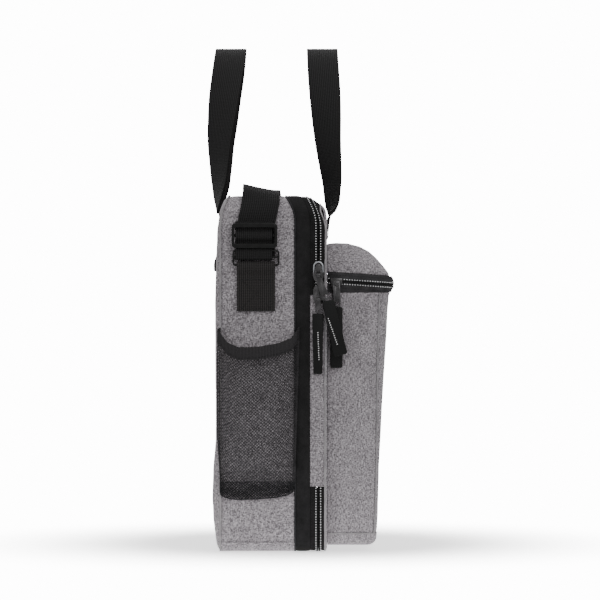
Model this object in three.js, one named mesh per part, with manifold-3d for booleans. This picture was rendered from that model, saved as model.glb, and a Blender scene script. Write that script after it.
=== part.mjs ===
// Soft carrying bag for a portable oxygen concentrator, standing upright and closed.
// Millimetres. X runs across the bag, Y from the front pocket (-) to the back (+), Z up.
import * as THREE from 'three';
import { mergeVertices } from 'three/addons/utils/BufferGeometryUtils.js';
import Module from 'manifold-3d';

const wasm = await Module();
wasm.setup();

// Body
const bagWidth = 280;
const bagHeight = 356.6;
const bagTopRadius = 22;
const bagBottomRadius = 9;
const bagFrontY = -27.3;
const fabricThickness = 1.6;
const foamThickness = 6;
const liningThickness = 0.8;
const seamGap = 0.3;
const half = bagWidth / 2;
// middle of the whole depth, moved to Y = 0 as each piece is added
const originY = 0.716;

// Zip band, measured along Y on the sides; everything leans back at the top edge
const bandRearY = 4.6;
const bandFrontY = -10;
const zipY = -18.3;
const doorRimY = -25.5;
const hingeLowZ = 65;
const hingeHighZ = 256.6;
const hingeFrontY = -22;
const leanStartZ = 330;
const leanAtTop = 9.5;

// Front pocket and its lid
const pocketWidth = 260;
const pocketBottomZ = 5.5;
const pocketTopRadius = 25;
const pocketBottomRadius = 12;
const pocketBackY = -27.6;
const pocketFabric = 2.2;
const lidFabric = 2.6;
const lidTapeHeight = 9;
const lowerTapeZ = 259.4;
const bottomSeamZ = 17;

// Webbing
const webbingThickness = 1.6;
const strapWidth = 38;
const strapY = 44;
const handleWidth = 32;
const handleThickness = 2.2;
const handleSpacing = 120;
const handlePivotZ = 340;
const handleTopZ = 512;
const backHandleY = 84.6;
const frontHandleY = -31.6;

// Strap hardware
const ringTopZ = 301;
const ringMiddleZ = 294.6;
const ringLowerZ = 286.4;
const ringWire = 2;
const ringWidth = 47;
const glideLowZ = 303.4;
const glideHeight = 25;
const glideWidth = 45.6;
const patchLowZ = 239.8;

// Zip sliders and pulls
const upperSliderZ = 276.5;
const lowerSliderZ = 252.5;
const pocketSliderY = -36.5;

const materials = {
  heather: new THREE.MeshStandardMaterial({ color: 0x8e8c8d, roughness: 0.95, metalness: 0 }),
  heatherLight: new THREE.MeshStandardMaterial({ color: 0x979596, roughness: 0.95, metalness: 0 }),
  webbing: new THREE.MeshStandardMaterial({ color: 0x151517, roughness: 0.8, metalness: 0 }),
  tape: new THREE.MeshStandardMaterial({ color: 0x1a1a1c, roughness: 0.85, metalness: 0 }),
  coil: new THREE.MeshStandardMaterial({ color: 0x8f9194, roughness: 0.5, metalness: 0 }),
  mesh: new THREE.MeshStandardMaterial({ color: 0x242426, roughness: 0.9, metalness: 0 }),
  lining: new THREE.MeshStandardMaterial({ color: 0x2f3136, roughness: 0.9, metalness: 0 }),
  foam: new THREE.MeshStandardMaterial({ color: 0xd8d4c8, roughness: 1, metalness: 0 }),
  board: new THREE.MeshStandardMaterial({ color: 0xe4e4e0, roughness: 0.6, metalness: 0 }),
  plastic: new THREE.MeshStandardMaterial({ color: 0x18181a, roughness: 0.45, metalness: 0 }),
  metal: new THREE.MeshStandardMaterial({ color: 0x9b9da1, roughness: 0.35, metalness: 1 }),
  darkMetal: new THREE.MeshStandardMaterial({ color: 0x2b2c2f, roughness: 0.4, metalness: 0.9 }),
  rubber: new THREE.MeshStandardMaterial({ color: 0x1c1c1e, roughness: 0.75, metalness: 0 }),
};

const bag = new THREE.Group();
bag.name = 'oxygen_concentrator_carrying_bag';

// ---------------------------------------------------------------- helpers

function toSolid(geometry) {
  const bare = geometry.clone();
  bare.deleteAttribute('normal');
  bare.deleteAttribute('uv');
  const welded = mergeVertices(bare, 1e-4);
  return new wasm.Manifold(new wasm.Mesh({
    numProp: 3,
    vertProperties: new Float32Array(welded.attributes.position.array),
    triVerts: new Uint32Array(welded.index.array),
  }));
}

function fromSolid(solid) {
  const mesh = solid.getMesh();
  const geometry = new THREE.BufferGeometry();
  geometry.setAttribute('position', new THREE.BufferAttribute(new Float32Array(mesh.vertProperties), 3));
  geometry.setIndex(new THREE.BufferAttribute(new Uint32Array(mesh.triVerts), 1));
  geometry.computeVertexNormals();
  return geometry;
}

function add(name, piece, material) {
  const geometry = piece.isBufferGeometry ? piece : fromSolid(piece);
  const mesh = new THREE.Mesh(geometry, material);
  geometry.translate(0, -originY, 0);
  mesh.name = name;
  bag.add(mesh);
}

function extruded(outline, depth, holes = []) {
  const shape = new THREE.Shape(outline.map(([u, v]) => new THREE.Vector2(u, v)));
  for (const hole of holes) shape.holes.push(new THREE.Path(hole.map(([u, v]) => new THREE.Vector2(u, v))));
  return new THREE.ExtrudeGeometry(shape, { depth, bevelEnabled: false, steps: 1 });
}

// outline in X, Z pushed along Y
function alongY(outline, y0, y1, holes) {
  const geometry = extruded(outline, y1 - y0, holes);
  geometry.rotateX(Math.PI / 2);
  geometry.translate(0, y1, 0);
  return toSolid(geometry);
}

// outline in Y, Z pushed along X
function alongX(outline, x0, x1, holes) {
  const geometry = extruded(outline, x1 - x0, holes);
  const turn = new THREE.Matrix4().makeBasis(
    new THREE.Vector3(0, 1, 0), new THREE.Vector3(0, 0, 1), new THREE.Vector3(1, 0, 0));
  geometry.applyMatrix4(turn);
  geometry.translate(x0, 0, 0);
  return toSolid(geometry);
}

// outline in X, Y pushed along Z
function alongZ(outline, z0, z1, holes) {
  const geometry = extruded(outline, z1 - z0, holes);
  geometry.translate(0, 0, z0);
  return toSolid(geometry);
}

function box(x0, x1, y0, y1, z0, z1) {
  const geometry = new THREE.BoxGeometry(x1 - x0, y1 - y0, z1 - z0);
  geometry.translate((x0 + x1) / 2, (y0 + y1) / 2, (z0 + z1) / 2);
  return toSolid(geometry);
}

function cylinderY(x, z, radius, y0, y1, sides = 16) {
  const geometry = new THREE.CylinderGeometry(radius, radius, y1 - y0, sides);
  geometry.translate(x, (y0 + y1) / 2, z);
  return toSolid(geometry);
}

function cylinderX(y, z, radius, x0, x1, sides = 16) {
  const geometry = new THREE.CylinderGeometry(radius, radius, x1 - x0, sides);
  geometry.rotateZ(Math.PI / 2);
  geometry.translate((x0 + x1) / 2, y, z);
  return toSolid(geometry);
}

// counter-clockwise rounded rectangle; radii in the order low-left, low-right, high-right, high-left
function roundedRectangle(u0, u1, v0, v1, radii, segments = 5) {
  const corners = [
    [u0 + radii[0], v0 + radii[0], radii[0], Math.PI],
    [u1 - radii[1], v0 + radii[1], radii[1], 1.5 * Math.PI],
    [u1 - radii[2], v1 - radii[2], radii[2], 0],
    [u0 + radii[3], v1 - radii[3], radii[3], 0.5 * Math.PI],
  ];
  const outline = [];
  for (const [u, v, radius, start] of corners) {
    for (let i = 0; i <= segments; i += 1) {
      const angle = start + (i / segments) * 0.5 * Math.PI;
      outline.push([u + radius * Math.cos(angle), v + radius * Math.sin(angle)]);
    }
  }
  return outline;
}

// moves every edge of a counter-clockwise outline inwards by the same distance
function inset(outline, distance) {
  return outline.map((point, i) => {
    const before = outline[(i + outline.length - 1) % outline.length];
    const after = outline[(i + 1) % outline.length];
    const normal = (a, b) => {
      const length = Math.hypot(b[0] - a[0], b[1] - a[1]);
      return [-(b[1] - a[1]) / length, (b[0] - a[0]) / length];
    };
    const n1 = normal(before, point);
    const n2 = normal(point, after);
    const scale = distance / (1 + n1[0] * n2[0] + n1[1] * n2[1]);
    return [point[0] + (n1[0] + n2[0]) * scale, point[1] + (n1[1] + n2[1]) * scale];
  });
}

// thick open line in a plane, as a closed outline
function thickLine(points, thickness) {
  const side = (sign) => points.map((point, i) => {
    const before = points[Math.max(i - 1, 0)];
    const after = points[Math.min(i + 1, points.length - 1)];
    const unit = (a, b) => {
      const length = Math.hypot(b[0] - a[0], b[1] - a[1]) || 1;
      return [(b[0] - a[0]) / length, (b[1] - a[1]) / length];
    };
    const d1 = i === 0 ? unit(point, after) : unit(before, point);
    const d2 = i === points.length - 1 ? unit(before, point) : unit(point, after);
    const n = [-(d1[1] + d2[1]), d1[0] + d2[0]];
    const scale = (sign * thickness) / (1 + d1[0] * d2[0] + d1[1] * d2[1]) / 2;
    return [point[0] + n[0] * scale, point[1] + n[1] * scale];
  });
  return [...side(-1), ...side(1).reverse()];
}

// rectangular section swept through frames of centre, half-width vector and half-thickness vector
function ribbon(frames) {
  const positions = [];
  for (const { c, w, t } of frames) {
    for (const [a, b] of [[-1, -1], [1, -1], [1, 1], [-1, 1]]) {
      positions.push(c.x + a * w.x + b * t.x, c.y + a * w.y + b * t.y, c.z + a * w.z + b * t.z);
    }
  }
  const index = [0, 1, 2, 0, 2, 3];
  const last = (frames.length - 1) * 4;
  index.push(last, last + 2, last + 1, last, last + 3, last + 2);
  for (let i = 0; i < frames.length - 1; i += 1) {
    for (let k = 0; k < 4; k += 1) {
      const a = i * 4 + k;
      const b = i * 4 + ((k + 1) % 4);
      index.push(a, a + 4, b, b, a + 4, b + 4);
    }
  }
  const geometry = new THREE.BufferGeometry();
  geometry.setAttribute('position', new THREE.Float32BufferAttribute(positions, 3));
  geometry.setIndex(index);
  return toSolidEitherWay(geometry);
}

// turns the faces outwards when the winding came out the other way round
function toSolidEitherWay(geometry) {
  const p = geometry.attributes.position.array;
  const n = geometry.index.array;
  let volume = 0;
  for (let i = 0; i < n.length; i += 3) {
    const [a, b, c] = [n[i] * 3, n[i + 1] * 3, n[i + 2] * 3];
    volume += p[a] * (p[b + 1] * p[c + 2] - p[b + 2] * p[c + 1])
      + p[a + 1] * (p[b + 2] * p[c] - p[b] * p[c + 2])
      + p[a + 2] * (p[b] * p[c + 1] - p[b + 1] * p[c]);
  }
  if (volume < 0) {
    const flipped = Array.from(n);
    for (let i = 0; i < flipped.length; i += 3) [flipped[i], flipped[i + 1]] = [flipped[i + 1], flipped[i]];
    geometry.setIndex(flipped);
  }
  return toSolid(geometry);
}

// sheet over a grid: outer(u, v) gives its outside, and the inside lies `thickness` away along `push`
function sheet(outer, columns, rows, thickness, push) {
  const positions = [];
  for (const depth of [0, thickness]) {
    for (let j = 0; j <= rows; j += 1) {
      for (let i = 0; i <= columns; i += 1) {
        const [x, y, z] = outer(i / columns, j / rows);
        positions.push(x + push[0] * depth, y + push[1] * depth, z + push[2] * depth);
      }
    }
  }
  const layer = (columns + 1) * (rows + 1);
  const at = (i, j, k) => k * layer + j * (columns + 1) + i;
  const index = [];
  const quad = (a, b, c, d) => index.push(a, b, c, a, c, d);
  for (let j = 0; j < rows; j += 1) {
    for (let i = 0; i < columns; i += 1) {
      quad(at(i, j, 0), at(i + 1, j, 0), at(i + 1, j + 1, 0), at(i, j + 1, 0));
      quad(at(i, j, 1), at(i, j + 1, 1), at(i + 1, j + 1, 1), at(i + 1, j, 1));
    }
  }
  for (let i = 0; i < columns; i += 1) {
    quad(at(i, 0, 0), at(i, 0, 1), at(i + 1, 0, 1), at(i + 1, 0, 0));
    quad(at(i, rows, 0), at(i + 1, rows, 0), at(i + 1, rows, 1), at(i, rows, 1));
  }
  for (let j = 0; j < rows; j += 1) {
    quad(at(0, j, 0), at(0, j + 1, 0), at(0, j + 1, 1), at(0, j, 1));
    quad(at(columns, j, 0), at(columns, j, 1), at(columns, j + 1, 1), at(columns, j + 1, 0));
  }
  const geometry = new THREE.BufferGeometry();
  geometry.setAttribute('position', new THREE.Float32BufferAttribute(positions, 3));
  geometry.setIndex(index);
  return toSolidEitherWay(geometry);
}

const mirrored = (solid) => solid.mirror([1, 0, 0]);

// straight-line interpolation through [input, value] pairs
function follow(pairs, input) {
  if (input <= pairs[0][0]) return pairs[0][1];
  for (let i = 1; i < pairs.length; i += 1) {
    if (input <= pairs[i][0]) {
      const [a, va] = pairs[i - 1];
      const [b, vb] = pairs[i];
      return va + ((vb - va) * (input - a)) / (b - a);
    }
  }
  return pairs[pairs.length - 1][1];
}

// ---------------------------------------------------------------- outlines of the body

const deepest = 2;

function bagFront(depth) {
  return roundedRectangle(-half + depth, half - depth, depth, bagHeight - depth, [
    Math.max(bagBottomRadius - depth, 0.6), Math.max(bagBottomRadius - depth, 0.6),
    bagTopRadius - depth, bagTopRadius - depth,
  ]);
}

function bagSide(depth) {
  const bottom = depth > deepest
    ? [[bagFrontY, 0], [84, 0]]
    : [[bagFrontY, 3], [bagFrontY + 3, 0], [78.5, 0], [82.6, 2.6], [84.2, 8]];
  return inset([
    ...bottom, [87.3, 31.6], [88.6, 51.6], [87.7, 81.6], [85, 111.6], [85.4, 180], [85.7, 251.6],
    [83.5, 321.6], [81, 340.6], [76, 353.2], [70, bagHeight], [2, bagHeight], [-6, 355.8],
    [-14, 353], [-21, 348], [-26, 341], [bagFrontY, 334],
  ], depth);
}

function bagPlan(depth) {
  const right = depth > deepest
    ? [[half, bagFrontY], [half, 80], [133, 85.8], [100, 88.6]]
    : [[half - 3, bagFrontY], [half, bagFrontY + 3], [half, 79.5], [138.6, 82.6], [134, 85.4],
      [122, 87.6], [100, 88.6]];
  return inset([...right, ...right.map(([x, y]) => [-x, y]).reverse()], depth);
}

function bagBody(depth) {
  return alongY(bagFront(depth), -80, 120)
    .intersect(alongX(bagSide(depth), -200, 200))
    .intersect(alongZ(bagPlan(depth), -20, 400));
}

// how far the zip line leans back near the top of the bag
function lean(z) {
  const part = Math.min(Math.max(z - leanStartZ, 0), bagHeight - leanStartZ) / (bagHeight - leanStartZ);
  return leanAtTop * part * part;
}

// slice of space between two lines that follow the zip
function slice(frontY, rearY) {
  const heights = [-10, leanStartZ, 336, 341, 345, 349, 352, 354.5, bagHeight, 380];
  return alongX([
    ...heights.map((z) => [rearY + lean(z), z]),
    ...heights.map((z) => [frontY + lean(z), z]).reverse(),
  ], -200, 200);
}

const outer = bagBody(0);
const fabricLayer = outer.subtract(bagBody(fabricThickness));
const foamOuter = bagBody(fabricThickness + seamGap);
const foamLayer = foamOuter.subtract(bagBody(fabricThickness + seamGap + foamThickness));
const liningDepth = fabricThickness + foamThickness + 2 * seamGap;
const liningLayer = bagBody(liningDepth).subtract(bagBody(liningDepth + liningThickness));
const tapeLayer = bagBody(0.4).subtract(bagBody(1.5));
const coilLayer = bagBody(0.1).subtract(bagBody(1.7));

// ---------------------------------------------------------------- shell: fabric, foam, lining

const backSeam = [[79.5, -10], [79.5, 326], [78, 340], [74, 351], [71, bagHeight], [71, 380]];
const backZone = alongX([...backSeam, [150, 380], [150, -10]].reverse(), -200, 200);
const sidesZone = slice(bandRearY + seamGap, 300).subtract(
  alongX([...backSeam.map(([y, z]) => [y - seamGap, z]), [150, 380], [150, -10]].reverse(), -200, 200));
const wall = fabricLayer.intersect(sidesZone);

add('back_panel', fabricLayer.intersect(backZone), materials.heather);
add('left_side_panel', wall.intersect(box(-200, -100, -80, 120, 9.3, 334.3)), materials.heather);
add('right_side_panel', wall.intersect(box(100, 200, -80, 120, 9.3, 334.3)), materials.heather);
add('top_panel', wall.intersect(box(-200, 200, -80, 120, 334.6, 400)), materials.heather);
add('bottom_panel', wall.intersect(box(-200, 200, -80, 120, -20, 9)), materials.heather);

const foamSpace = slice(-9.5, 300);
const foam = foamLayer.intersect(foamSpace);
add('back_foam', foam.intersect(box(-200, 200, 75, 120, -20, 400)), materials.foam);
add('left_foam', foam.intersect(box(-200, -130, -80, 74.7, 10, 334)), materials.foam);
add('right_foam', foam.intersect(box(130, 200, -80, 74.7, 10, 334)), materials.foam);
add('top_foam', foam.intersect(box(-117, 117, -80, 74.7, 340, 400)), materials.foam);
add('bottom_foam', foam.intersect(box(-130, 130, -80, 74.7, -20, 9)), materials.foam);
add('main_lining', liningLayer.intersect(foamSpace), materials.lining);
add('base_board', alongZ(roundedRectangle(-125, 125, -5, 70, [8, 8, 8, 8], 3), 9.4, 11.9), materials.board);

add('rear_band', fabricLayer.intersect(slice(bandFrontY, bandRearY)), materials.webbing);

// ---------------------------------------------------------------- main zip and fabric hinge

const hingeWindow = box(-200, -100, -80, 120, hingeLowZ - seamGap, hingeHighZ + seamGap);
add('rear_zip_tape', tapeLayer.intersect(slice(zipY + 1.6, bandFrontY - seamGap)).subtract(hingeWindow), materials.tape);
add('rear_zip_coil', coilLayer.intersect(slice(zipY + 0.2, zipY + 1.3)).subtract(hingeWindow), materials.coil);
add('hinge_strip', fabricLayer.intersect(slice(hingeFrontY, bandFrontY - seamGap))
  .intersect(box(-200, -100, -80, 120, hingeLowZ, hingeHighZ)), materials.heatherLight);
add('front_zip_coil', coilLayer.intersect(slice(zipY - 1.3, zipY - 0.2)).subtract(hingeWindow), materials.coil);
add('front_zip_tape', tapeLayer.intersect(slice(doorRimY + seamGap, zipY - 1.6)).subtract(hingeWindow), materials.tape);

// ---------------------------------------------------------------- door: front panel

const doorFace = fabricLayer.intersect(slice(-60, doorRimY));
const doorHem = fabricLayer.intersect(slice(doorRimY - 0.5, hingeFrontY - seamGap))
  .intersect(box(-200, -100, -80, 120, hingeLowZ, hingeHighZ));
add('door_panel', doorFace.add(doorHem), materials.heather);
const doorInner = bagBody(1.9);
add('door_foam', doorInner.intersect(slice(-60, -20.4)), materials.foam);
add('door_lining', doorInner.intersect(slice(-20.1, -19.2)), materials.lining);

// ---------------------------------------------------------------- front pocket and lid

function pocketFront(depth) {
  const w = pocketWidth / 2;
  return roundedRectangle(-w + depth, w - depth, pocketBottomZ + depth, 309.2 - depth, [
    pocketBottomRadius - depth, pocketBottomRadius - depth,
    pocketTopRadius - depth, pocketTopRadius - depth,
  ]);
}

function pocketSide(depth) {
  const back = pocketBackY + (depth > 0 ? depth + 6 : 0);
  return inset([
    [back, pocketBottomZ], [-68, pocketBottomZ], [-73.5, 8.2], [-76.8, 15], [-78.3, 32.6],
    [-79.8, 88.6], [-83.4, 151.6], [-88.4, 231.6], [-89.6, 256], [-91.8, 260], [-93.4, 264.5],
    [-93.8, 270], [-92.6, 275], [-90, 279.3], [-84.5, 286.3], [-77.5, 294.6], [-70, 301],
    [-61, 305.4], [-48, 308.2], [-36, 309], [back, 308.7],
  ].reverse(), depth);
}

function pocketPlan(depth) {
  const back = pocketBackY + (depth > 0 ? depth + 6 : 0);
  const w = pocketWidth / 2;
  const right = [[w, back], [w, -80], [w - 1.2, -85], [w - 4.4, -89.3], [w - 10, -92.2], [w - 24, -93.8]];
  return inset([...right, ...right.map(([x, y]) => [-x, y]).reverse()].reverse(), depth);
}

function pocketBody(depth) {
  return alongY(pocketFront(depth), -140, -10)
    .intersect(alongX(pocketSide(depth), -200, 200))
    .intersect(alongZ(pocketPlan(depth), -20, 400));
}

// the lid's zip drops slightly towards the front
const zipHeight = (y) => 271 + 0.067 * (y + 27);

function zipSlice(low, high) {
  return alongX([
    [-110, zipHeight(-110) + low], [pocketBackY, zipHeight(pocketBackY) + low],
    [pocketBackY, zipHeight(pocketBackY) + high], [-110, zipHeight(-110) + high],
  ], -200, 200);
}

const pocketOuter = pocketBody(0);
const pocketLayer = pocketOuter.subtract(pocketBody(pocketFabric));
const pocketTape = pocketBody(0.4).intersect(pocketOuter).subtract(pocketBody(1.5));
const pocketCoil = pocketOuter.subtract(pocketBody(1.7));
const pocketSeam = [[-73.5, 0], [-75.4, 34.6], [-77, 88.6], [-78, 189.6], [-80, 256], [-80, 262]];
const seamFront = alongX([...pocketSeam, [-120, 262], [-120, 0]], -200, 200);
const seamRear = alongX([...pocketSeam.map(([y, z]) => [y + seamGap, z]), [pocketBackY, 262], [pocketBackY, 0]].reverse(), -200, 200);
const pocketHeightZone = box(-200, 200, -140, pocketBackY, bottomSeamZ + seamGap, lowerTapeZ - seamGap);
const pocketSides = pocketLayer.intersect(seamRear).intersect(pocketHeightZone);

add('pocket_left_panel', pocketSides.intersect(box(-200, -90, -140, 0, -10, 400)), materials.heather);
add('pocket_right_panel', pocketSides.intersect(box(90, 200, -140, 0, -10, 400)), materials.heather);
add('pocket_front_panel', pocketLayer.intersect(seamFront).intersect(pocketHeightZone), materials.heather);
add('pocket_bottom_panel', pocketLayer.intersect(box(-200, 200, -140, pocketBackY, -10, bottomSeamZ)), materials.heather);
add('pocket_lining', pocketBody(pocketFabric + seamGap).subtract(pocketBody(pocketFabric + seamGap + liningThickness))
  .intersect(box(-200, 200, -140, pocketBackY, -10, lowerTapeZ - 1)), materials.lining);
add('pocket_lower_tape', pocketTape.intersect(zipSlice(-40, -2.6)).intersect(box(-200, 200, -140, pocketBackY, lowerTapeZ, 300)), materials.tape);
add('pocket_lower_coil', pocketCoil.intersect(zipSlice(-2.3, -0.2)), materials.coil);
add('lid_coil', pocketCoil.intersect(zipSlice(0.2, 2.3)), materials.coil);
add('lid_tape', pocketTape.intersect(zipSlice(2.6, lidTapeHeight)), materials.tape);
add('lid_panel', pocketOuter.subtract(pocketBody(lidFabric)).intersect(zipSlice(lidTapeHeight + seamGap, 100)), materials.heather);

// ---------------------------------------------------------------- handles

const handleWidthDirection = [[handlePivotZ, 0], [347, 8], [354, 16], [375, 30], [416, 50], [457, 72], [490, 86], [handleTopZ, 90]];
const backHandleLine = [[handlePivotZ, backHandleY], [354, 84], [375, 82.6], [416, 82.2], [457, 78.5], [490, 74], [handleTopZ, 71.5]];
const frontHandleLine = [[handlePivotZ, frontHandleY], [354, -33.6], [375, -33], [416, -29], [457, -26.4], [490, -24], [handleTopZ, -23]];

function handleLoop(yLine) {
  const w = handleSpacing / 2;
  const left = [
    [-w, handlePivotZ + 0.2], [-w, 347], [-w - 0.4, 354], [-w - 1, 364], [-w - 1.5, 375], [-w - 1.8, 395],
    [-w - 1.4, 416], [-w + 1, 438], [-w + 6, 459], [-w + 15, 480], [-w + 27, 496], [-w + 42, 507],
    [0, handleTopZ],
  ];
  const path = [...left, ...left.slice(0, -1).reverse().map(([x, z]) => [-x, z])];
  const frames = path.map(([x, z], i) => {
    const before = path[Math.max(i - 1, 0)];
    const after = path[Math.min(i + 1, path.length - 1)];
    const tangent = new THREE.Vector3(after[0] - before[0], follow(yLine, after[1]) - follow(yLine, before[1]), after[1] - before[1]).normalize();
    const across = new THREE.Vector3(tangent.z, 0, -tangent.x).normalize();
    const deep = new THREE.Vector3().crossVectors(tangent, across).normalize();
    const twist = THREE.MathUtils.degToRad(follow(handleWidthDirection, z));
    const width = across.clone().multiplyScalar(Math.cos(twist)).addScaledVector(deep, Math.sin(twist));
    const thick = new THREE.Vector3().crossVectors(tangent, width).normalize();
    return {
      c: new THREE.Vector3(x, follow(yLine, z), z),
      w: width.multiplyScalar(handleWidth / 2),
      t: thick.multiplyScalar(handleThickness / 2),
    };
  });
  return ribbon(frames);
}

add('back_handle', handleLoop(backHandleLine), materials.webbing);
add('front_handle', handleLoop(frontHandleLine), materials.webbing);

// sewn ends: centre lines in Y, Z that stop just under the loops
function sewnEnd(points, x) {
  return alongX(thickLine(points, handleThickness - 0.4), x - handleWidth / 2, x + handleWidth / 2);
}
const backEnd = [[86.6, 281], [86.1, 300], [85.2, 321], [backHandleY, 331], [backHandleY, handlePivotZ - 1.4]];
const frontEnd = [[-28.7, 314], [-28.9, 322], [-30.4, 331], [frontHandleY, handlePivotZ - 1.4]];
for (const [side, x] of [['left', -handleSpacing / 2], ['right', handleSpacing / 2]]) {
  add(`back_handle_end_${side}`, sewnEnd(backEnd, x), materials.webbing);
  add(`front_handle_end_${side}`, sewnEnd(frontEnd, x), materials.webbing);
}

// ---------------------------------------------------------------- carrying strap, rings and adjusters

const strapLow = -half - 1.4;
const strapArch = [
  [strapLow, ringMiddleZ], [strapLow, 331], [-half - 0.6, 343], [-134.5, 354], [-124, 361], [-104, 364.4],
  [-60, 363.4], [0, 362.6],
];
const strapLine = [...strapArch, ...strapArch.slice(0, -1).reverse().map(([x, z]) => [-x, z])];
add('carrying_strap', alongY(thickLine(strapLine, webbingThickness), strapY - strapWidth / 2, strapY + strapWidth / 2), materials.webbing);

// fold round a bar at x, z: half circle of webbing centre line from the back layer to the front one
function foldPoints(x, z, radius, from, to, steps = 6) {
  const points = [];
  for (let i = 0; i <= steps; i += 1) {
    const angle = THREE.MathUtils.degToRad(from + ((to - from) * i) / steps);
    points.push([x + radius * Math.cos(angle), z + radius * Math.sin(angle)]);
  }
  return points;
}
const barX = -half - 3.5;
const foldRadius = 2.5;
const glideMiddleZ = glideLowZ + glideHeight / 2;

// strap tail: round the ring's middle bar, up in front, behind the adjuster's lower bar and over its centre bar
const tail = thickLine([
  ...foldPoints(barX, ringMiddleZ - 0.2, foldRadius, 0, -180),
  [barX - foldRadius, ringMiddleZ + 1], [barX - foldRadius, 300.4], [-half - 5.6, 302.4], [-half - 5, 304.2],
  [-half - 5, 308], [-half - 5.6, 310.2], [-half - 8.2, glideMiddleZ - 2.6], [-half - 8.5, glideMiddleZ],
  [-half - 8.2, glideMiddleZ + 2.6], [-half - 5.6, 321.6], [-half - 5, 324], [-half - 5, 330],
], webbingThickness - 0.2);
const tailSolid = alongY(tail, strapY + 0.6 - strapWidth / 2, strapY - 0.6 + strapWidth / 2);

// anchor: sewn patch with a loop round the ring's lower bar
const anchorLoop = [
  [-half - 0.4, patchLowZ], [-half - 0.4, 276], [-half - 0.5, ringLowerZ],
  ...foldPoints(barX, ringLowerZ, 3.4, 0, 180, 8), [-half - 6.2, 281], [-half - 3.8, 276], [-half - 3.8, patchLowZ],
].reverse();
const anchorHole = [
  ...foldPoints(barX, ringLowerZ, 1.85, 0, 180, 6), [barX - 1.2, 283], [barX + 0.4, 279.6], [barX + 1.6, 283],
];
const anchorSolid = alongY(anchorLoop, strapY - strapWidth / 2, strapY + strapWidth / 2, [anchorHole]);

const ringX = [barX - ringWire / 2, barX + ringWire / 2];
const ringSolid = alongX(
  roundedRectangle(strapY - ringWidth / 2, strapY + ringWidth / 2, ringLowerZ - ringWire / 2, ringTopZ + ringWire / 2, [3, 3, 3, 3], 3),
  ringX[0], ringX[1], [
    roundedRectangle(strapY - ringWidth / 2 + ringWire, strapY + ringWidth / 2 - ringWire, ringLowerZ + ringWire / 2, ringMiddleZ - ringWire / 2, [0.8, 0.8, 0.8, 0.8], 2),
    roundedRectangle(strapY - ringWidth / 2 + ringWire, strapY + ringWidth / 2 - ringWire, ringMiddleZ + ringWire / 2, ringTopZ - ringWire / 2, [0.8, 0.8, 0.8, 0.8], 2),
  ]);

function adjuster() {
  const low = strapY + 1.4 - glideWidth / 2;
  const high = strapY + 1.4 + glideWidth / 2;
  const frame = alongX(
    roundedRectangle(low, high, glideLowZ, glideLowZ + glideHeight, [4, 4, 4, 4], 4),
    -half - 9.3, -half - 6,
    [roundedRectangle(low + 2.6, high - 2.6, glideLowZ + 4.3, glideLowZ + glideHeight - 4.3, [1.6, 1.6, 1.6, 1.6], 2)]);
  const centreBar = box(-half - 7.2, -half - 4.8, low + 1, high - 1, glideMiddleZ - 1.3, glideMiddleZ + 1.3);
  return frame.add(centreBar);
}
const adjusterSolid = adjuster();

for (const [side, place] of [['left', (s) => s], ['right', mirrored]]) {
  add(`${side}_strap_anchor`, place(anchorSolid), materials.webbing);
  add(`${side}_ring`, place(ringSolid), materials.plastic);
  add(`${side}_strap_tail`, place(tailSolid), materials.webbing);
  add(`${side}_adjuster`, place(adjusterSolid), materials.plastic);
}

// ---------------------------------------------------------------- mesh side pockets

const hemTop = [[-1, 225], [2.3, 222], [8.6, 214.5], [16.4, 210.5], [32, 207], [48, 204.8], [63.6, 204.8], [76, 207.5], [81, 209]];
const meshFloor = [[-1, 68], [4, 60.5], [10, 57.5], [22, 54.6], [56, 52.4], [70, 55], [76, 60], [81, 70]];
const meshFrontY = 0.6;
const meshRearY = 79.4;
const meshBulge = 10.5;
const hemHeight = 13;

function pouchDepth(across, up) {
  const acrossShape = Math.pow(Math.sin(Math.PI * Math.min(Math.max(across, 0), 1)), 0.62);
  const upShape = Math.min(1, Math.pow(Math.max(up, 0) * 2.6, 0.7)) * (1 - 0.22 * Math.max(up - 0.5, 0));
  return 1.4 + meshBulge * acrossShape * upShape;
}

function pouchPoint(across, up, extra = 0) {
  const y = meshFrontY + (meshRearY - meshFrontY) * across;
  const low = follow(meshFloor, y);
  const high = follow(hemTop, y) - 1;
  return [-half - pouchDepth(across, up) - extra, y, low + (high - low) * up];
}

const pouch = sheet((u, v) => pouchPoint(u, v), 12, 9, 0.8, [1, 0, 0]);
const hem = sheet((u, v) => {
  const y = meshFrontY + (meshRearY - meshFrontY) * u;
  const high = follow(hemTop, y);
  const low = follow(meshFloor, y);
  const z = high - hemHeight * (1 - v);
  return [-half - pouchDepth(u, (z - low) / (high - low)) - 1.9, y, z];
}, 12, 2, 1.5, [1, 0, 0]);

add('left_mesh_pocket', pouch, materials.mesh);
add('left_mesh_hem', hem, materials.webbing);
add('right_mesh_pocket', mirrored(pouch), materials.mesh);
add('right_mesh_hem', mirrored(hem), materials.webbing);

// ---------------------------------------------------------------- sliders and pulls of the main zip

function turnedOutline(outline, centre, degrees) {
  const c = Math.cos(THREE.MathUtils.degToRad(degrees));
  const s = Math.sin(THREE.MathUtils.degToRad(degrees));
  return outline.map(([u, v]) => [
    centre[0] + (u - centre[0]) * c - (v - centre[1]) * s,
    centre[1] + (u - centre[0]) * s + (v - centre[1]) * c,
  ]);
}

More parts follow.
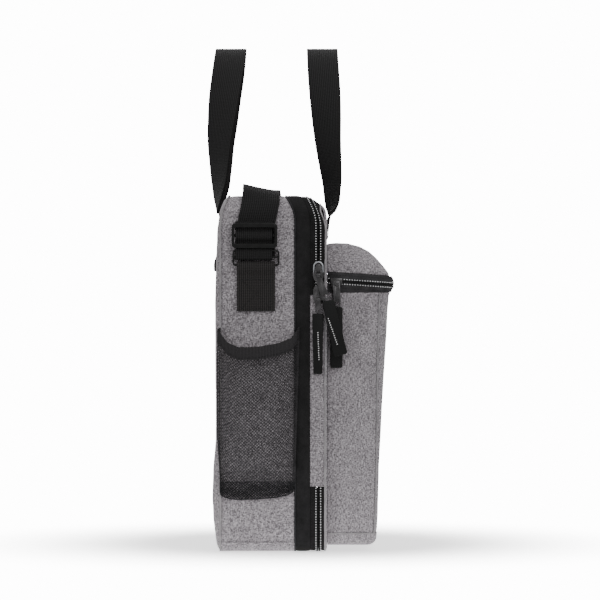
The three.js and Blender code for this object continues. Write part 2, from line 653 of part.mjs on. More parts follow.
// slider with two ears and a bar along Y for the pull
function slider(z, reach, bar, widthY, top, bottom) {
  const base = alongX([
    [zipY - widthY * 0.34, bottom], [zipY + widthY * 0.34, bottom], [zipY + widthY / 2, z - 1],
    [zipY + widthY / 2, top - 4], [zipY + widthY * 0.3, top], [zipY - widthY * 0.3, top],
    [zipY - widthY / 2, top - 4], [zipY - widthY / 2, z - 1],
  ], -half - 2.2, -half - 0.6);
  const x = -half - reach;
  let solid = base;
  for (const y of [zipY - 3.3, zipY + 2.1]) {
    solid = solid.add(box(x - bar - 0.3, -half - 1.8, y, y + 1.2, z - bar - 0.4, z + 4.2));
  }
  solid = solid.add(cylinderY(x, z, bar, zipY - 3, zipY + 3));
  return solid.add(box(x + bar + 0.9, -half - 1.8, zipY - 1.6, zipY + 1.6, z + 3.4, top - 1.5));
}

// pull plate with a knuckle that turns on the slider's bar
function pullPlate(z, reach, bar, knuckle, outline, thickness, holes) {
  const x = -half - reach;
  const barrel = cylinderY(x, z, knuckle, zipY - 1.9, zipY + 1.9);
  const plate = alongX(outline, x - thickness / 2, x + thickness / 2, holes);
  return barrel.add(plate).subtract(cylinderY(x, z, bar + 0.06, zipY - 4, zipY + 4));
}

add('upper_slider', slider(upperSliderZ, 6.4, 0.9, 11, 289, 271), materials.metal);
add('upper_pull_plate', pullPlate(upperSliderZ, 6.4, 0.9, 2, [
  [-31, 252.6], [-22, 251.2], [-15.8, 271.4], [-16.6, 274.2], [-16.6, 276.5], [-20, 276.5], [-20.4, 274.2], [-21.8, 272.6],
].reverse(), 1.5, [turnedOutline(roundedRectangle(-29, -23.6, 254.4, 257, [0.8, 0.8, 0.8, 0.8], 2), [-26.3, 255.7], 16)]), materials.darkMetal);
add('upper_puller', alongX([
  [-34, 251], [-32.6, 251.9], [-22.8, 250.6], [-22, 249.6], [-34, 195.8], [-35.2, 195], [-46.4, 198], [-47.2, 199.6],
].reverse(), -half - 8.6, -half - 5.7), materials.rubber);

add('lower_slider', slider(lowerSliderZ, 4, 0.6, 10.4, 266, 248), materials.metal);
add('lower_pull_plate', pullPlate(lowerSliderZ, 4, 0.6, 1.25, [
  [-20.8, 238.4], [-15.4, 238.4], [-15.2, 249], [-16.6, 251], [-16.6, 252.5], [-20, 252.5], [-20, 251], [-21, 249],
].reverse(), 1.1, [roundedRectangle(-19.6, -16.8, 239.8, 242, [0.6, 0.6, 0.6, 0.6], 2)]), materials.darkMetal);
add('lower_puller', alongX([
  [-13.2, 238.1], [-22.4, 238.1], [-23.4, 236.8], [-22.4, 179], [-21.4, 177.6], [-14.4, 177.6], [-13.4, 179], [-12.2, 236.8],
], -half - 5.1, -half - 2.9), materials.rubber);

// ---------------------------------------------------------------- slider and pull of the pocket zip

const pocketX = -pocketWidth / 2;
const pocketSliderZ = zipHeight(pocketSliderY) - 1;
const pinZ = pocketSliderZ - 1.4;
const pocketSlider = alongX([
  [pocketSliderY - 6, pocketSliderZ - 3], [pocketSliderY + 6, pocketSliderZ - 4.6],
  [pocketSliderY + 6, pocketSliderZ + 4.6], [pocketSliderY - 6, pocketSliderZ + 4],
], pocketX - 2.4, pocketX - 0.6)
  .add(cylinderX(pocketSliderY, pinZ, 1.2, pocketX - 5.4, pocketX - 1))
  .add(cylinderX(pocketSliderY, pinZ, 2.4, pocketX - 6.2, pocketX - 5.2));
add('pocket_slider', pocketSlider, materials.darkMetal);
add('pocket_pull_plate', alongX([
  [-40.6, 245], [-32.4, 245], [-32.6, 262.6], [-33.6, 270.6], [-39.4, 270.6], [-40.4, 262.6],
].reverse(), pocketX - 4.6, pocketX - 3.1, [
  roundedRectangle(pocketSliderY - 1.35, pocketSliderY + 1.35, pinZ - 1.35, pinZ + 1.35, [1.34, 1.34, 1.34, 1.34], 4),
  roundedRectangle(-38.9, -34.1, 246.8, 249.4, [0.8, 0.8, 0.8, 0.8], 2),
]), materials.metal);
add('pocket_puller', alongX([
  [-31.4, 244.6], [-41.4, 244.6], [-42.6, 243.4], [-42.6, 184.8], [-41.4, 183.6], [-31.4, 183.6], [-30.2, 184.8], [-30.2, 243.4],
], pocketX - 5.3, pocketX - 2.4), materials.rubber);

export default bag;
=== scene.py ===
import math
import bpy
from mathutils import Matrix, Vector, noise


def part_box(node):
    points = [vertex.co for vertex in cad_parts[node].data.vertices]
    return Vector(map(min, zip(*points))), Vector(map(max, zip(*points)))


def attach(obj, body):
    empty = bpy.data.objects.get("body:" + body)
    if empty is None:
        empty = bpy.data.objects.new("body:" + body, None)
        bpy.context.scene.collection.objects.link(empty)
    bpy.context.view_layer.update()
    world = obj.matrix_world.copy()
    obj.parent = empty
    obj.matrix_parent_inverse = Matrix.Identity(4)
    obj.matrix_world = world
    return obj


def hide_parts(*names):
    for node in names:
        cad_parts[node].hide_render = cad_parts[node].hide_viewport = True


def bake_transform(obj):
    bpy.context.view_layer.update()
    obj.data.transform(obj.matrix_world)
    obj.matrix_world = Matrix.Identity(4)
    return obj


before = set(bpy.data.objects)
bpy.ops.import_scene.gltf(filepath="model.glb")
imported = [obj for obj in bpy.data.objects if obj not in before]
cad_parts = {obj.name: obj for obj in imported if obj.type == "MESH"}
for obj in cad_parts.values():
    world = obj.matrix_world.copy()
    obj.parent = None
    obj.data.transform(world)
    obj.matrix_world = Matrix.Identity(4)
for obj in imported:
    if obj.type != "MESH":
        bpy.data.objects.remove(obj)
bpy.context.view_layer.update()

# A padded carrying bag for a portable oxygen concentrator, closed and standing, with both handles up.
# Metres; lengths that a maker would measure are written as a number times mm.
mm = 0.001


# small tools that stand for what is done by hand in the viewport

def deselectAll():
    if bpy.context.object and bpy.context.object.mode != "OBJECT":
        bpy.ops.object.mode_set(mode="OBJECT")
    bpy.ops.object.select_all(action="DESELECT")


def pick(piece):
    deselectAll()
    piece.select_set(True)
    bpy.context.view_layer.objects.active = piece


def modify(piece, kind, **settings):
    pick(piece)
    modifier = piece.modifiers.new(kind.title(), kind)
    for name, value in settings.items():
        setattr(modifier, name, value)
    bpy.ops.object.modifier_apply(modifier=modifier.name)
    return piece


def smooth(piece, degrees=50):
    pick(piece)
    bpy.ops.object.shade_smooth_by_angle(angle=math.radians(degrees))
    return piece


def editAll(piece, *operators):
    pick(piece)
    bpy.ops.object.mode_set(mode="EDIT")
    bpy.ops.mesh.select_all(action="SELECT")
    for operator, settings in operators:
        operator(**settings)
    bpy.ops.object.mode_set(mode="OBJECT")
    return piece


def joinPieces(name, pieces):
    pick(pieces[0])
    for piece in pieces[1:]:
        piece.select_set(True)
    if len(pieces) > 1:
        bpy.ops.object.join()
    pieces[0].name = name
    return pieces[0]


def finish(piece, body, material, slot, *nodes):
    piece.data.materials.clear()
    piece.data.materials.append(material)
    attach(piece, body)
    if nodes:
        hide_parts(*nodes)
    return piece


# a flat grid whose points are moved to place(u, v); its UV map is in millimetres of cloth
def clothGrid(name, columns, rows, place, clothSize, outwards):
    deselectAll()
    bpy.ops.mesh.primitive_grid_add(x_subdivisions=columns, y_subdivisions=rows, size=1)
    piece = bpy.context.object
    piece.name = name
    mesh = piece.data
    for vertex in mesh.vertices:
        vertex.co = place(vertex.co.x + 0.5, vertex.co.y + 0.5)
    for corner in mesh.uv_layers[0].data:
        corner.uv = (corner.uv[0] * clothSize[0], corner.uv[1] * clothSize[1])
    mesh.update()
    middle = mesh.polygons[len(mesh.polygons) // 2 + columns // 2]
    if middle.normal.dot(Vector(outwards(middle.center) if callable(outwards) else outwards)) < 0:
        editAll(piece, (bpy.ops.mesh.flip_normals, {}))
    return piece


def thicken(piece, thickness, rim=0.0):
    modify(piece, "SOLIDIFY", thickness=thickness, offset=-1, use_even_offset=False)
    if rim:
        modify(piece, "BEVEL", width=rim, segments=2, limit_method="ANGLE", angle_limit=math.radians(60))
    return smooth(piece)


def tube(name, points, radius, closed=False, sides=2):
    curve = bpy.data.curves.new(name, "CURVE")
    curve.dimensions = "3D"
    curve.bevel_depth = radius
    curve.bevel_resolution = sides
    curve.use_fill_caps = not closed
    spline = curve.splines.new("POLY")
    spline.points.add(len(points) - 1)
    for point, co in zip(spline.points, points):
        point.co = (*co, 1)
    spline.use_cyclic_u = closed
    piece = bpy.data.objects.new(name, curve)
    bpy.context.scene.collection.objects.link(piece)
    pick(piece)
    bpy.ops.object.convert(target="MESH")
    return smooth(bpy.context.object)


# one modelled shape copied to many places and joined, each copy with its own mesh
def scatter(name, unit, places):
    copies = []
    for place in places:
        copy = bpy.data.objects.new(name, unit.data.copy())
        copy.data.transform(place)
        bpy.context.scene.collection.objects.link(copy)
        copies.append(copy)
    bpy.data.objects.remove(unit)
    return smooth(joinPieces(name, copies), 60)


# one stitch: a short thread standing half out of the cloth
def stitchUnit(length, radius):
    deselectAll()
    bpy.ops.mesh.primitive_uv_sphere_add(segments=8, ring_count=5, radius=1)
    unit = bpy.context.object
    unit.data.transform(Matrix.Diagonal((length / 2, radius, radius * 0.8, 1)))
    return unit


def frameAlong(points, index, normal):
    before = points[max(index - 1, 0)]
    after = points[min(index + 1, len(points) - 1)]
    along = (after - before).normalized()
    across = normal.cross(along).normalized()
    up = along.cross(across)
    turn = Matrix((along, across, up)).transposed().to_4x4()
    turn.translation = points[index]
    return turn


# evenly spaced points on a chain of points, each with its interpolated normal
def walk(points, normals, pitch):
    lengths = [0.0]
    for a, b in zip(points, points[1:]):
        lengths.append(lengths[-1] + (b - a).length)
    count = max(int(lengths[-1] / pitch), 2)
    found, facing, index = [], [], 0
    for step in range(count):
        target = (step + 0.5) * lengths[-1] / count
        while index < len(lengths) - 2 and lengths[index + 1] < target:
            index += 1
        part = (target - lengths[index]) / max(lengths[index + 1] - lengths[index], 1e-9)
        found.append(points[index].lerp(points[index + 1], part))
        facing.append(normals[index].lerp(normals[index + 1], part).normalized())
    return found, facing


def stitchRow(name, points, normals, pitch=3.2 * mm, length=2.3 * mm, radius=0.28 * mm):
    found, facing = walk(points, normals, pitch)
    places = [frameAlong(found, index, facing[index]) for index in range(len(found))]
    return scatter(name, stitchUnit(length, radius), places)


def refined(name, nodes, bevel, segments=2, angle=30):
    copies = []
    for node in nodes:
        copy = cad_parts[node].copy()
        copy.data = copy.data.copy()
        copy.parent = None
        for key in list(copy.keys()):
            del copy[key]
        bpy.context.scene.collection.objects.link(copy)
        copies.append(copy)
    piece = joinPieces(name, copies)
    editAll(piece, (bpy.ops.mesh.remove_doubles, {"threshold": 1e-6}),
            (bpy.ops.mesh.dissolve_limited, {"angle_limit": math.radians(1)}))
    if bevel:
        modify(piece, "BEVEL", width=bevel, segments=segments, limit_method="ANGLE", angle_limit=math.radians(angle))
    return smooth(piece, 40)


def wobble(point, size, amount, seed=0.0):
    return noise.noise((point + Vector((seed, seed * 1.7, -seed))) / size) * amount


def smoothStep(value, low=0.0, high=1.0):
    part = min(max((value - low) / (high - low), 0), 1)
    return part * part * (3 - 2 * part)


def curveThrough(pairs, value):
    if value <= pairs[0][0]:
        return pairs[0][1]
    for (a, va), (b, vb) in zip(pairs, pairs[1:]):
        if value <= b:
            return va + (vb - va) * (value - a) / (b - a)
    return pairs[-1][1]


# smooth chain through a few control points
def smoothChain(controls, steps):
    controls = [Vector(point) for point in controls]
    ends = [controls[0] * 2 - controls[1], *controls, controls[-1] * 2 - controls[-2]]
    chain = []
    for i in range(1, len(ends) - 2):
        p0, p1, p2, p3 = ends[i - 1:i + 3]
        for step in range(steps):
            t = step / steps
            chain.append(0.5 * ((2 * p1) + (p2 - p0) * t + (2 * p0 - 5 * p1 + 4 * p2 - p3) * t * t
                                + (3 * p1 - p0 - 3 * p2 + p3) * t ** 3))
    return chain + [controls[-1]]


# materials

def linear(hexColour):
    channels = [int(hexColour[i:i + 2], 16) / 255 for i in (1, 3, 5)]
    return [c / 12.92 if c <= 0.04045 else ((c + 0.055) / 1.055) ** 2.4 for c in channels] + [1.0]


def addNode(tree, kind, settings=None, values=None, links=None):
    node = tree.nodes.new(kind)
    for name, value in (settings or {}).items():
        setattr(node, name, value)
    for name, value in (values or {}).items():
        node.inputs[name].default_value = value
    for name, source in (links or {}).items():
        tree.links.new(source, node.inputs[name])
    return node


def newMaterial(name):
    material = bpy.data.materials.new(name)
    material.use_nodes = True
    tree = material.node_tree
    shader = tree.nodes["Principled BSDF"]
    return material, tree, shader


# Heather polyester: a plain weave of melange yarn. Light and dark fibres are spun together, so the grey
# breaks into short upright and level flecks, and the surface is dry and matt.
def heatherPolyester(name, dark, middle, light):
    material, tree, shader = newMaterial(name)
    place = addNode(tree, "ShaderNodeTexCoord").outputs["Object"]
    upright = addNode(tree, "ShaderNodeMapping", values={"Scale": (1 / (0.62 * mm), 1 / (0.62 * mm), 1 / (2.6 * mm))},
                      links={"Vector": place}).outputs[0]
    level = addNode(tree, "ShaderNodeMapping", values={"Scale": (1 / (2.2 * mm), 1 / (2.2 * mm), 1 / (0.6 * mm))},
                    links={"Vector": place}).outputs[0]
    warp = addNode(tree, "ShaderNodeTexNoise", values={"Scale": 1.0, "Detail": 1.0, "Roughness": 0.4},
                   links={"Vector": upright}).outputs["Fac"]
    weft = addNode(tree, "ShaderNodeTexNoise", values={"Scale": 1.0, "Detail": 1.0, "Roughness": 0.4},
                   links={"Vector": level}).outputs["Fac"]
    cloud = addNode(tree, "ShaderNodeTexNoise", values={"Scale": 1 / (26 * mm), "Detail": 2.0},
                    links={"Vector": place}).outputs["Fac"]
    both = addNode(tree, "ShaderNodeMath", {"operation": "ADD"}, links={0: warp, 1: weft}).outputs[0]
    cloudy = addNode(tree, "ShaderNodeMath", {"operation": "MULTIPLY_ADD"}, values={1: 0.16},
                     links={0: cloud, 2: both}).outputs[0]
    tone = addNode(tree, "ShaderNodeMapRange", values={"From Min": 0.78, "From Max": 1.38},
                   links={"Value": cloudy}).outputs[0]
    ramp = addNode(tree, "ShaderNodeValToRGB", links={"Fac": tone})
    ramp.color_ramp.elements[0].position, ramp.color_ramp.elements[0].color = 0.12, linear(dark)
    ramp.color_ramp.elements[1].position, ramp.color_ramp.elements[1].color = 0.9, linear(light)
    ramp.color_ramp.elements.new(0.5).color = linear(middle)
    tree.links.new(ramp.outputs[0], shader.inputs["Base Color"])
    # thread spacing 0.9 mm: coarser than the real 0.5 mm, so that the weave shows
    threads = addNode(tree, "ShaderNodeTexVoronoi", values={"Scale": 1 / (0.9 * mm), "Randomness": 0.35},
                      links={"Vector": place}).outputs["Distance"]
    height = addNode(tree, "ShaderNodeMath", {"operation": "ADD"}, links={0: threads, 1: both}).outputs[0]
    bump = addNode(tree, "ShaderNodeBump", values={"Strength": 0.35, "Distance": 0.3 * mm}, links={"Height": height})
    tree.links.new(bump.outputs[0], shader.inputs["Normal"])
    rough = addNode(tree, "ShaderNodeMapRange", values={"To Min": 0.82, "To Max": 0.98},
                    links={"Value": warp}).outputs[0]
    tree.links.new(rough, shader.inputs["Roughness"])
    shader.inputs["IOR"].default_value = 1.45
    shader.inputs["Specular IOR Level"].default_value = 0.3
    shader.inputs["Sheen Weight"].default_value = 0.18
    shader.inputs["Sheen Roughness"].default_value = 0.5
    return material


# Polypropylene webbing: thick warp cords lie side by side along the tape and the weft crosses them in a fine
# zigzag, so black webbing shows faint lengthwise ribs. Their lighter glint colour is a painted highlight over a real
# waxy gloss. It reads the cloth's own UV in mm.
def ribbedWebbing(name, colour, glint, ribPitch=1.9, weftPitch=1.5, depth=0.5):
    material, tree, shader = newMaterial(name)
    cloth = addNode(tree, "ShaderNodeTexCoord").outputs["UV"]
    ribs = addNode(tree, "ShaderNodeTexWave", {"wave_type": "BANDS", "bands_direction": "X"},
                   values={"Scale": 0.3142 / ribPitch, "Distortion": 0.6, "Detail": 1.0, "Detail Scale": 2.0},
                   links={"Vector": cloth}).outputs["Fac"]
    weft = addNode(tree, "ShaderNodeTexWave", {"wave_type": "BANDS", "bands_direction": "Y"},
                   values={"Scale": 0.3142 / weftPitch, "Distortion": 1.4, "Detail": 1.0},
                   links={"Vector": cloth}).outputs["Fac"]
    weave = addNode(tree, "ShaderNodeMath", {"operation": "MULTIPLY_ADD"}, values={1: 0.55},
                    links={0: weft, 2: ribs}).outputs[0]
    fibre = addNode(tree, "ShaderNodeTexNoise", values={"Scale": 1.6, "Detail": 3.0},
                    links={"Vector": cloth}).outputs["Fac"]
    tone = addNode(tree, "ShaderNodeMath", {"operation": "MULTIPLY"}, links={0: weave, 1: fibre}).outputs[0]
    ramp = addNode(tree, "ShaderNodeValToRGB", links={"Fac": tone})
    ramp.color_ramp.elements[0].position, ramp.color_ramp.elements[0].color = 0.1, linear(colour)
    # painted highlight: the glint colour lightens the rib crowns where light would catch them
    ramp.color_ramp.elements[1].position, ramp.color_ramp.elements[1].color = 0.85, linear(glint)
    tree.links.new(ramp.outputs[0], shader.inputs["Base Color"])
    bump = addNode(tree, "ShaderNodeBump", values={"Strength": depth, "Distance": 0.5 * mm}, links={"Height": weave})
    tree.links.new(bump.outputs[0], shader.inputs["Normal"])
    rough = addNode(tree, "ShaderNodeMapRange", values={"To Min": 0.55, "To Max": 0.85},
                    links={"Value": fibre}).outputs[0]
    tree.links.new(rough, shader.inputs["Roughness"])
    shader.inputs["IOR"].default_value = 1.49
    shader.inputs["Specular IOR Level"].default_value = 0.16
    return material


# Plain dyed polyester, for linings, mesh threads and tapes: an even, fine weave on Object coordinates.
def plainPolyester(name, colour, light, pitch, strength=0.4, rough=(0.7, 0.9)):
    material, tree, shader = newMaterial(name)
    place = addNode(tree, "ShaderNodeTexCoord").outputs["Object"]
    threads = addNode(tree, "ShaderNodeTexVoronoi", values={"Scale": 1 / pitch, "Randomness": 0.3},
                      links={"Vector": place}).outputs["Distance"]
    cloud = addNode(tree, "ShaderNodeTexNoise", values={"Scale": 1 / (9 * mm), "Detail": 4.0},
                    links={"Vector": place}).outputs["Fac"]
    tone = addNode(tree, "ShaderNodeMath", {"operation": "MULTIPLY_ADD"}, values={1: 0.5},
                   links={0: threads, 2: cloud}).outputs[0]
    ramp = addNode(tree, "ShaderNodeValToRGB", links={"Fac": tone})
    ramp.color_ramp.elements[0].position, ramp.color_ramp.elements[0].color = 0.3, linear(colour)
    ramp.color_ramp.elements[1].position, ramp.color_ramp.elements[1].color = 1.0, linear(light)
    tree.links.new(ramp.outputs[0], shader.inputs["Base Color"])
    bump = addNode(tree, "ShaderNodeBump", values={"Strength": strength, "Distance": 0.25 * mm},
                   links={"Height": threads})
    tree.links.new(bump.outputs[0], shader.inputs["Normal"])
    gloss = addNode(tree, "ShaderNodeMapRange", values={"To Min": rough[0], "To Max": rough[1]},
                    links={"Value": cloud}).outputs[0]
    tree.links.new(gloss, shader.inputs["Roughness"])
    shader.inputs["IOR"].default_value = 1.45
    shader.inputs["Specular IOR Level"].default_value = 0.16
    return material


# Moulded or cast parts: a faint grain from the tool, slight tone changes and softer wear.
def mouldedSurface(name, colour, worn, grain, rough, metallic=0.0, strength=0.15):
    material, tree, shader = newMaterial(name)
    place = addNode(tree, "ShaderNodeTexCoord").outputs["Object"]
    fine = addNode(tree, "ShaderNodeTexNoise", values={"Scale": 1 / grain, "Detail": 4.0},
                   links={"Vector": place}).outputs["Fac"]
    broad = addNode(tree, "ShaderNodeTexNoise", values={"Scale": 1 / (6 * mm), "Detail": 3.0},
                    links={"Vector": place}).outputs["Fac"]
    ramp = addNode(tree, "ShaderNodeValToRGB", links={"Fac": broad})
    ramp.color_ramp.elements[0].position, ramp.color_ramp.elements[0].color = 0.3, linear(colour)
    ramp.color_ramp.elements[1].position, ramp.color_ramp.elements[1].color = 0.8, linear(worn)
    tree.links.new(ramp.outputs[0], shader.inputs["Base Color"])
    gloss = addNode(tree, "ShaderNodeMapRange", values={"To Min": rough[0], "To Max": rough[1]},
                    links={"Value": broad}).outputs[0]
    tree.links.new(gloss, shader.inputs["Roughness"])
    bump = addNode(tree, "ShaderNodeBump", values={"Strength": strength, "Distance": 0.1 * mm},
                   links={"Height": fine})
    tree.links.new(bump.outputs[0], shader.inputs["Normal"])
    shader.inputs["Metallic"].default_value = metallic
    if not metallic:
        shader.inputs["Specular IOR Level"].default_value = 0.22
    return material


# heather polyester for the panels, and a copy a few percent darker for the cloth hinge
heather = heatherPolyester("heatherPolyester", "#565255", "#7f7a7e", "#aba6aa")
heatherStrip = heatherPolyester("heatherPolyesterStrip", "#534f52", "#7b767a", "#a8a3a7")
# polypropylene webbing: near black for handles and strap, a little dusty on the doubled patch; the binding
# tape has finer ribs and looks greyer. The second colour of each is a painted highlight on the rib crowns.
webbing = ribbedWebbing("polypropyleneWebbing", "#0a0a0a", "#2b2a2b")
strapWebbing = ribbedWebbing("strapWebbing", "#060606", "#272627", 2.1, 1.6)
patchWebbing = ribbedWebbing("patchWebbing", "#0f0e0e", "#363333", 2.1, 1.6)
bindingTape = ribbedWebbing("bindingTape", "#141314", "#3a383a", 1.2, 1.2, 0.35)
# woven zip tape and knitted net: matt, with just enough tone to part them from the webbing
zipTape = plainPolyester("zipTape", "#070707", "#1d1c1d", 0.7 * mm, 0.5)
pocketZipTape = plainPolyester("pocketZipTape", "#161516", "#3a393b", 0.7 * mm, 0.5)
meshThread = plainPolyester("knittedMeshThread", "#191819", "#403e40", 0.5 * mm)
# linings are a cool dark grey with a slight gloss; band and piping cloth are dry and even
liningCloth = plainPolyester("polyesterLining", "#26282c", "#3c3f45", 0.8 * mm, 0.4, (0.55, 0.8))
bandCloth = plainPolyester("bandCloth", "#080808", "#222122", 0.9 * mm, 0.6)
pipingCloth = plainPolyester("pipingCloth", "#656264", "#979496", 0.7 * mm, 0.5)
# threads: bright reflective rows beside the zips, white dashes on the pulls, black seams that only glint
silverThread = plainPolyester("reflectiveThread", "#b9babc", "#efeff0", 0.3 * mm, 0.3, (0.35, 0.55))
whiteThread = plainPolyester("whiteThread", "#b9b9b9", "#efefef", 0.4 * mm)
blackThread = plainPolyester("blackThread", "#0d0d0e", "#2a2a2c", 0.4 * mm, 0.3, (0.45, 0.65))
# nylon coil and acetal buckles: smooth blacks that catch small highlights on their edges
coilNylon = mouldedSurface("coilNylon", "#050505", "#151515", 0.4 * mm, (0.35, 0.5))
acetal = mouldedSurface("mouldedAcetal", "#0a0a0a", "#161616", 0.5 * mm, (0.22, 0.36))
# cast zinc: a bright wire arch on the upper slider's front rim is a painted highlight where the rim catches light;
# sliders and pull plates are dark plated
rimHighlightZinc = mouldedSurface("castZincRimHighlight", "#8f9195", "#b9bbbf", 0.6 * mm, (0.25, 0.42), 1.0)
blackZinc = mouldedSurface("blackPlatedZincAlloy", "#403f40", "#605f60", 0.5 * mm, (0.2, 0.32), 1.0)
# soft PVC pulls: the deepest black, rubbed matt; foam and board are pale and show only when opened
softPvc = mouldedSurface("softPvc", "#020202", "#070707", 0.7 * mm, (0.5, 0.65), 0.0, 0.35)
closedCellFoam = mouldedSurface("closedCellFoam", "#c9c5b8", "#dedbcf", 0.8 * mm, (0.85, 0.95), 0.0, 0.6)
boardPlastic = mouldedSurface("polypropyleneBoard", "#d6d6d2", "#e8e8e5", 1.5 * mm, (0.45, 0.6))
print("materials ready")


# the body's form, read from the frame
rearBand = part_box("rear_band")
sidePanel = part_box("left_side_panel")
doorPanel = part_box("door_panel")
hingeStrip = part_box("hinge_strip")
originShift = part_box("back_panel")[1].y - 88.6 * mm   # the frame's Y zero lies this far behind the maker's one

bag = {
    "halfWidth": rearBand[1].x,
    "top": rearBand[1].z,
    "topRadius": 22 * mm,
    "bottomRadius": 9 * mm,
    "bandRear": sidePanel[0].y - 0.15 * mm,
    "bandFront": rearBand[0].y,
    "zipLine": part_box("rear_zip_coil")[0].y - 0.2 * mm,
    "doorRim": hingeStrip[0].y - 3.5 * mm,
    "front": doorPanel[0].y,
    "backSeam": sidePanel[1].y + 0.15 * mm,
    "leanStart": 330 * mm,
    "leanAtTop": 9.5 * mm,
    "cloth": 1.5 * mm,
}
halfWidth, bagTop = bag["halfWidth"], bag["top"]

# height of the top as it rounds over towards the front, by Y
topProfile = [(-26 * mm + originShift, 341 * mm), (-21 * mm + originShift, 348 * mm),
              (-14 * mm + originShift, 353 * mm),
              (-6 * mm + originShift, 355.8 * mm), (2 * mm + originShift, bagTop)]
# depth of the back face by height, and of the seam round it
backProfile = [(0, 78.5), (2.6, 82.6), (8, 84.2), (31.6, 87.3), (51.6, 88.5), (81.6, 87.7), (111.6, 85), (180, 85.4),
               (251.6, 85.7), (321.6, 83.5), (340.6, 81), (350, 77.5), (353.2, 75.6), (356.6, 71)]
backProfile = [(z * mm, y * mm + originShift) for z, y in backProfile]
seamProfile = [(0, bag["backSeam"]), (326 * mm, bag["backSeam"]), (340 * mm, bag["backSeam"] - 1.5 * mm),
               (351 * mm, bag["backSeam"] - 5.5 * mm), (bagTop, bag["backSeam"] - 8.5 * mm)]
doorProfile = [(0, -24.6), (1.5, -26.6), (4, -27.3), (332, -27.3), (340, -26.4), (344.5, -24.4), (347.2, -22)]
doorProfile = [(z * mm, y * mm + originShift) for z, y in doorProfile]


def lean(z):
    part = min(max((z - bag["leanStart"]) / (bagTop - bag["leanStart"]), 0), 1)
    return bag["leanAtTop"] * part * part


# the outline of the body seen from the front, walked from the near side's foot up, over and round
sideLength = bagTop - bag["topRadius"] - bag["bottomRadius"]
topArc = bag["topRadius"] * math.pi / 2
bottomArc = bag["bottomRadius"] * math.pi / 2
topLength = 2 * (halfWidth - bag["topRadius"])
bottomLength = 2 * (halfWidth - bag["bottomRadius"])
ringStarts = [0]
for length in (sideLength, topArc, topLength, topArc, sideLength, bottomArc, bottomLength, bottomArc):
    ringStarts.append(ringStarts[-1] + length)
ringLength = ringStarts[-1]


def outline(distance):
    distance = distance % ringLength
    w, top, rt, rb = halfWidth, bagTop, bag["topRadius"], bag["bottomRadius"]
    section = max(i for i in range(8) if ringStarts[i] <= distance + 1e-12)
    along = distance - ringStarts[section]
    if section == 0:
        return -w, rb + along, -1, 0
    if section == 2:
        return -w + rt + along, top, 0, 1
    if section == 4:
        return w, top - rt - along, 1, 0
    if section == 6:
        return w - rb - along, 0, 0, -1
    radius = rt if section in (1, 3) else rb
    centreX, centreZ = {1: (-w + rt, top - rt), 3: (w - rt, top - rt), 5: (w - rb, rb), 7: (-w + rb, rb)}[section]
    angle = {1: math.pi, 3: math.pi / 2, 5: 0, 7: -math.pi / 2}[section] - along / radius
    return centreX + radius * math.cos(angle), centreZ + radius * math.sin(angle), math.cos(angle), math.sin(angle)


def ringPoint(distance, y, out=0.0):
    x, z, nx, nz = outline(distance)
    drop = (bagTop - curveThrough(topProfile, y)) * smoothStep(z, 300 * mm, bagTop)
    return Vector((x + nx * out, y, z - drop + nz * out))


def ringNormal(distance):
    _, _, nx, nz = outline(distance)
    return Vector((nx, 0, nz))


def followLine(base, distance):
    return base + lean(outline(distance)[1])


# the door's rim leans back less than the zip, so the tape widens over the top
def doorRimAt(z):
    rim = bag["doorRim"] + 0.4 * lean(z) - 6.4 * mm * smoothStep(z, 285 * mm, 318 * mm)
    return max(rim, curveThrough(doorProfile, z) + 1.0 * mm) if z > 285 * mm else rim


def seamAt(distance):
    return curveThrough(seamProfile, outline(distance)[1])


def nearHeight(z):
    return z - bag["bottomRadius"]


# cloth round the body between two seams: dips into both seams and ripples gently between them
def gussetPiece(name, start, end, frontLine, rearLine, rows, dip=1.3 * mm, ripple=0.5 * mm,
                thickness=None, step=4.5 * mm, raised=0.0, dipEnds=False):
    columns = max(int((end - start) / step), 4)

    def place(u, v):
        distance = start + (end - start) * u
        y0, y1 = frontLine(distance), rearLine(distance)
        y = y0 + (y1 - y0) * v
        point = ringPoint(distance, y)
        out = raised + wobble(point, 46 * mm, ripple, 3) - ripple * 0.5
        edge = min(y - y0, y1 - y)
        if dipEnds:
            edge = min(edge, distance - start, end - distance)
        out -= dip * math.exp(-(edge / (2.2 * mm)) ** 2)
        out += wobble(point, 9 * mm, 0.45 * mm, 7) * math.exp(-edge / (9 * mm))
        return ringPoint(distance, y, out)

    def outwards(centre):
        if end - start > sideLength:
            return Vector((centre.x / halfWidth, 0, (centre.z - bagTop / 2) / bagTop * 2))
        return ringNormal((start + end) / 2)
    piece = clothGrid(name, columns, rows, place, ((end - start) / mm, 80), outwards)
    return thicken(piece, thickness or bag["cloth"])


nearFoot, nearTop = 0.3 * mm, ringStarts[1] - 0.15 * mm


def bandSeam(distance):
    return followLine(bag["bandRear"], distance) + 0.2 * mm


for name, start, end in (("leftSidePanel", nearFoot, nearTop),
                         ("rightSidePanel", ringStarts[4] + 0.15 * mm, ringStarts[5] - 0.3 * mm)):
    panel = gussetPiece(name, start, end, bandSeam, seamAt, 22, dipEnds=True)
    finish(panel, "shell", heather, "heather", "left_side_panel" if name.startswith("left") else "right_side_panel")
panel = gussetPiece("topPanel", ringStarts[1] + 0.15 * mm, ringStarts[4] - 0.15 * mm, bandSeam, seamAt, 20,
                    dipEnds=True)
finish(panel, "shell", heather, "heather", "top_panel")
panel = gussetPiece("bottomPanel", ringStarts[5], ringLength, bandSeam, seamAt, 18, dip=0.0, ripple=0.0)
finish(panel, "shell", heather, "heather", "bottom_panel")
band = gussetPiece("rearBand", 0, ringLength, lambda d: followLine(bag["bandFront"], d),
                   lambda d: followLine(bag["bandRear"], d), 8,
                   dip=0.5 * mm, ripple=0.5 * mm, raised=0.15 * mm)
editAll(band, (bpy.ops.mesh.remove_doubles, {"threshold": 1e-5}))
finish(band, "shell", bandCloth, "webbing", "rear_band")
print("gusset done")


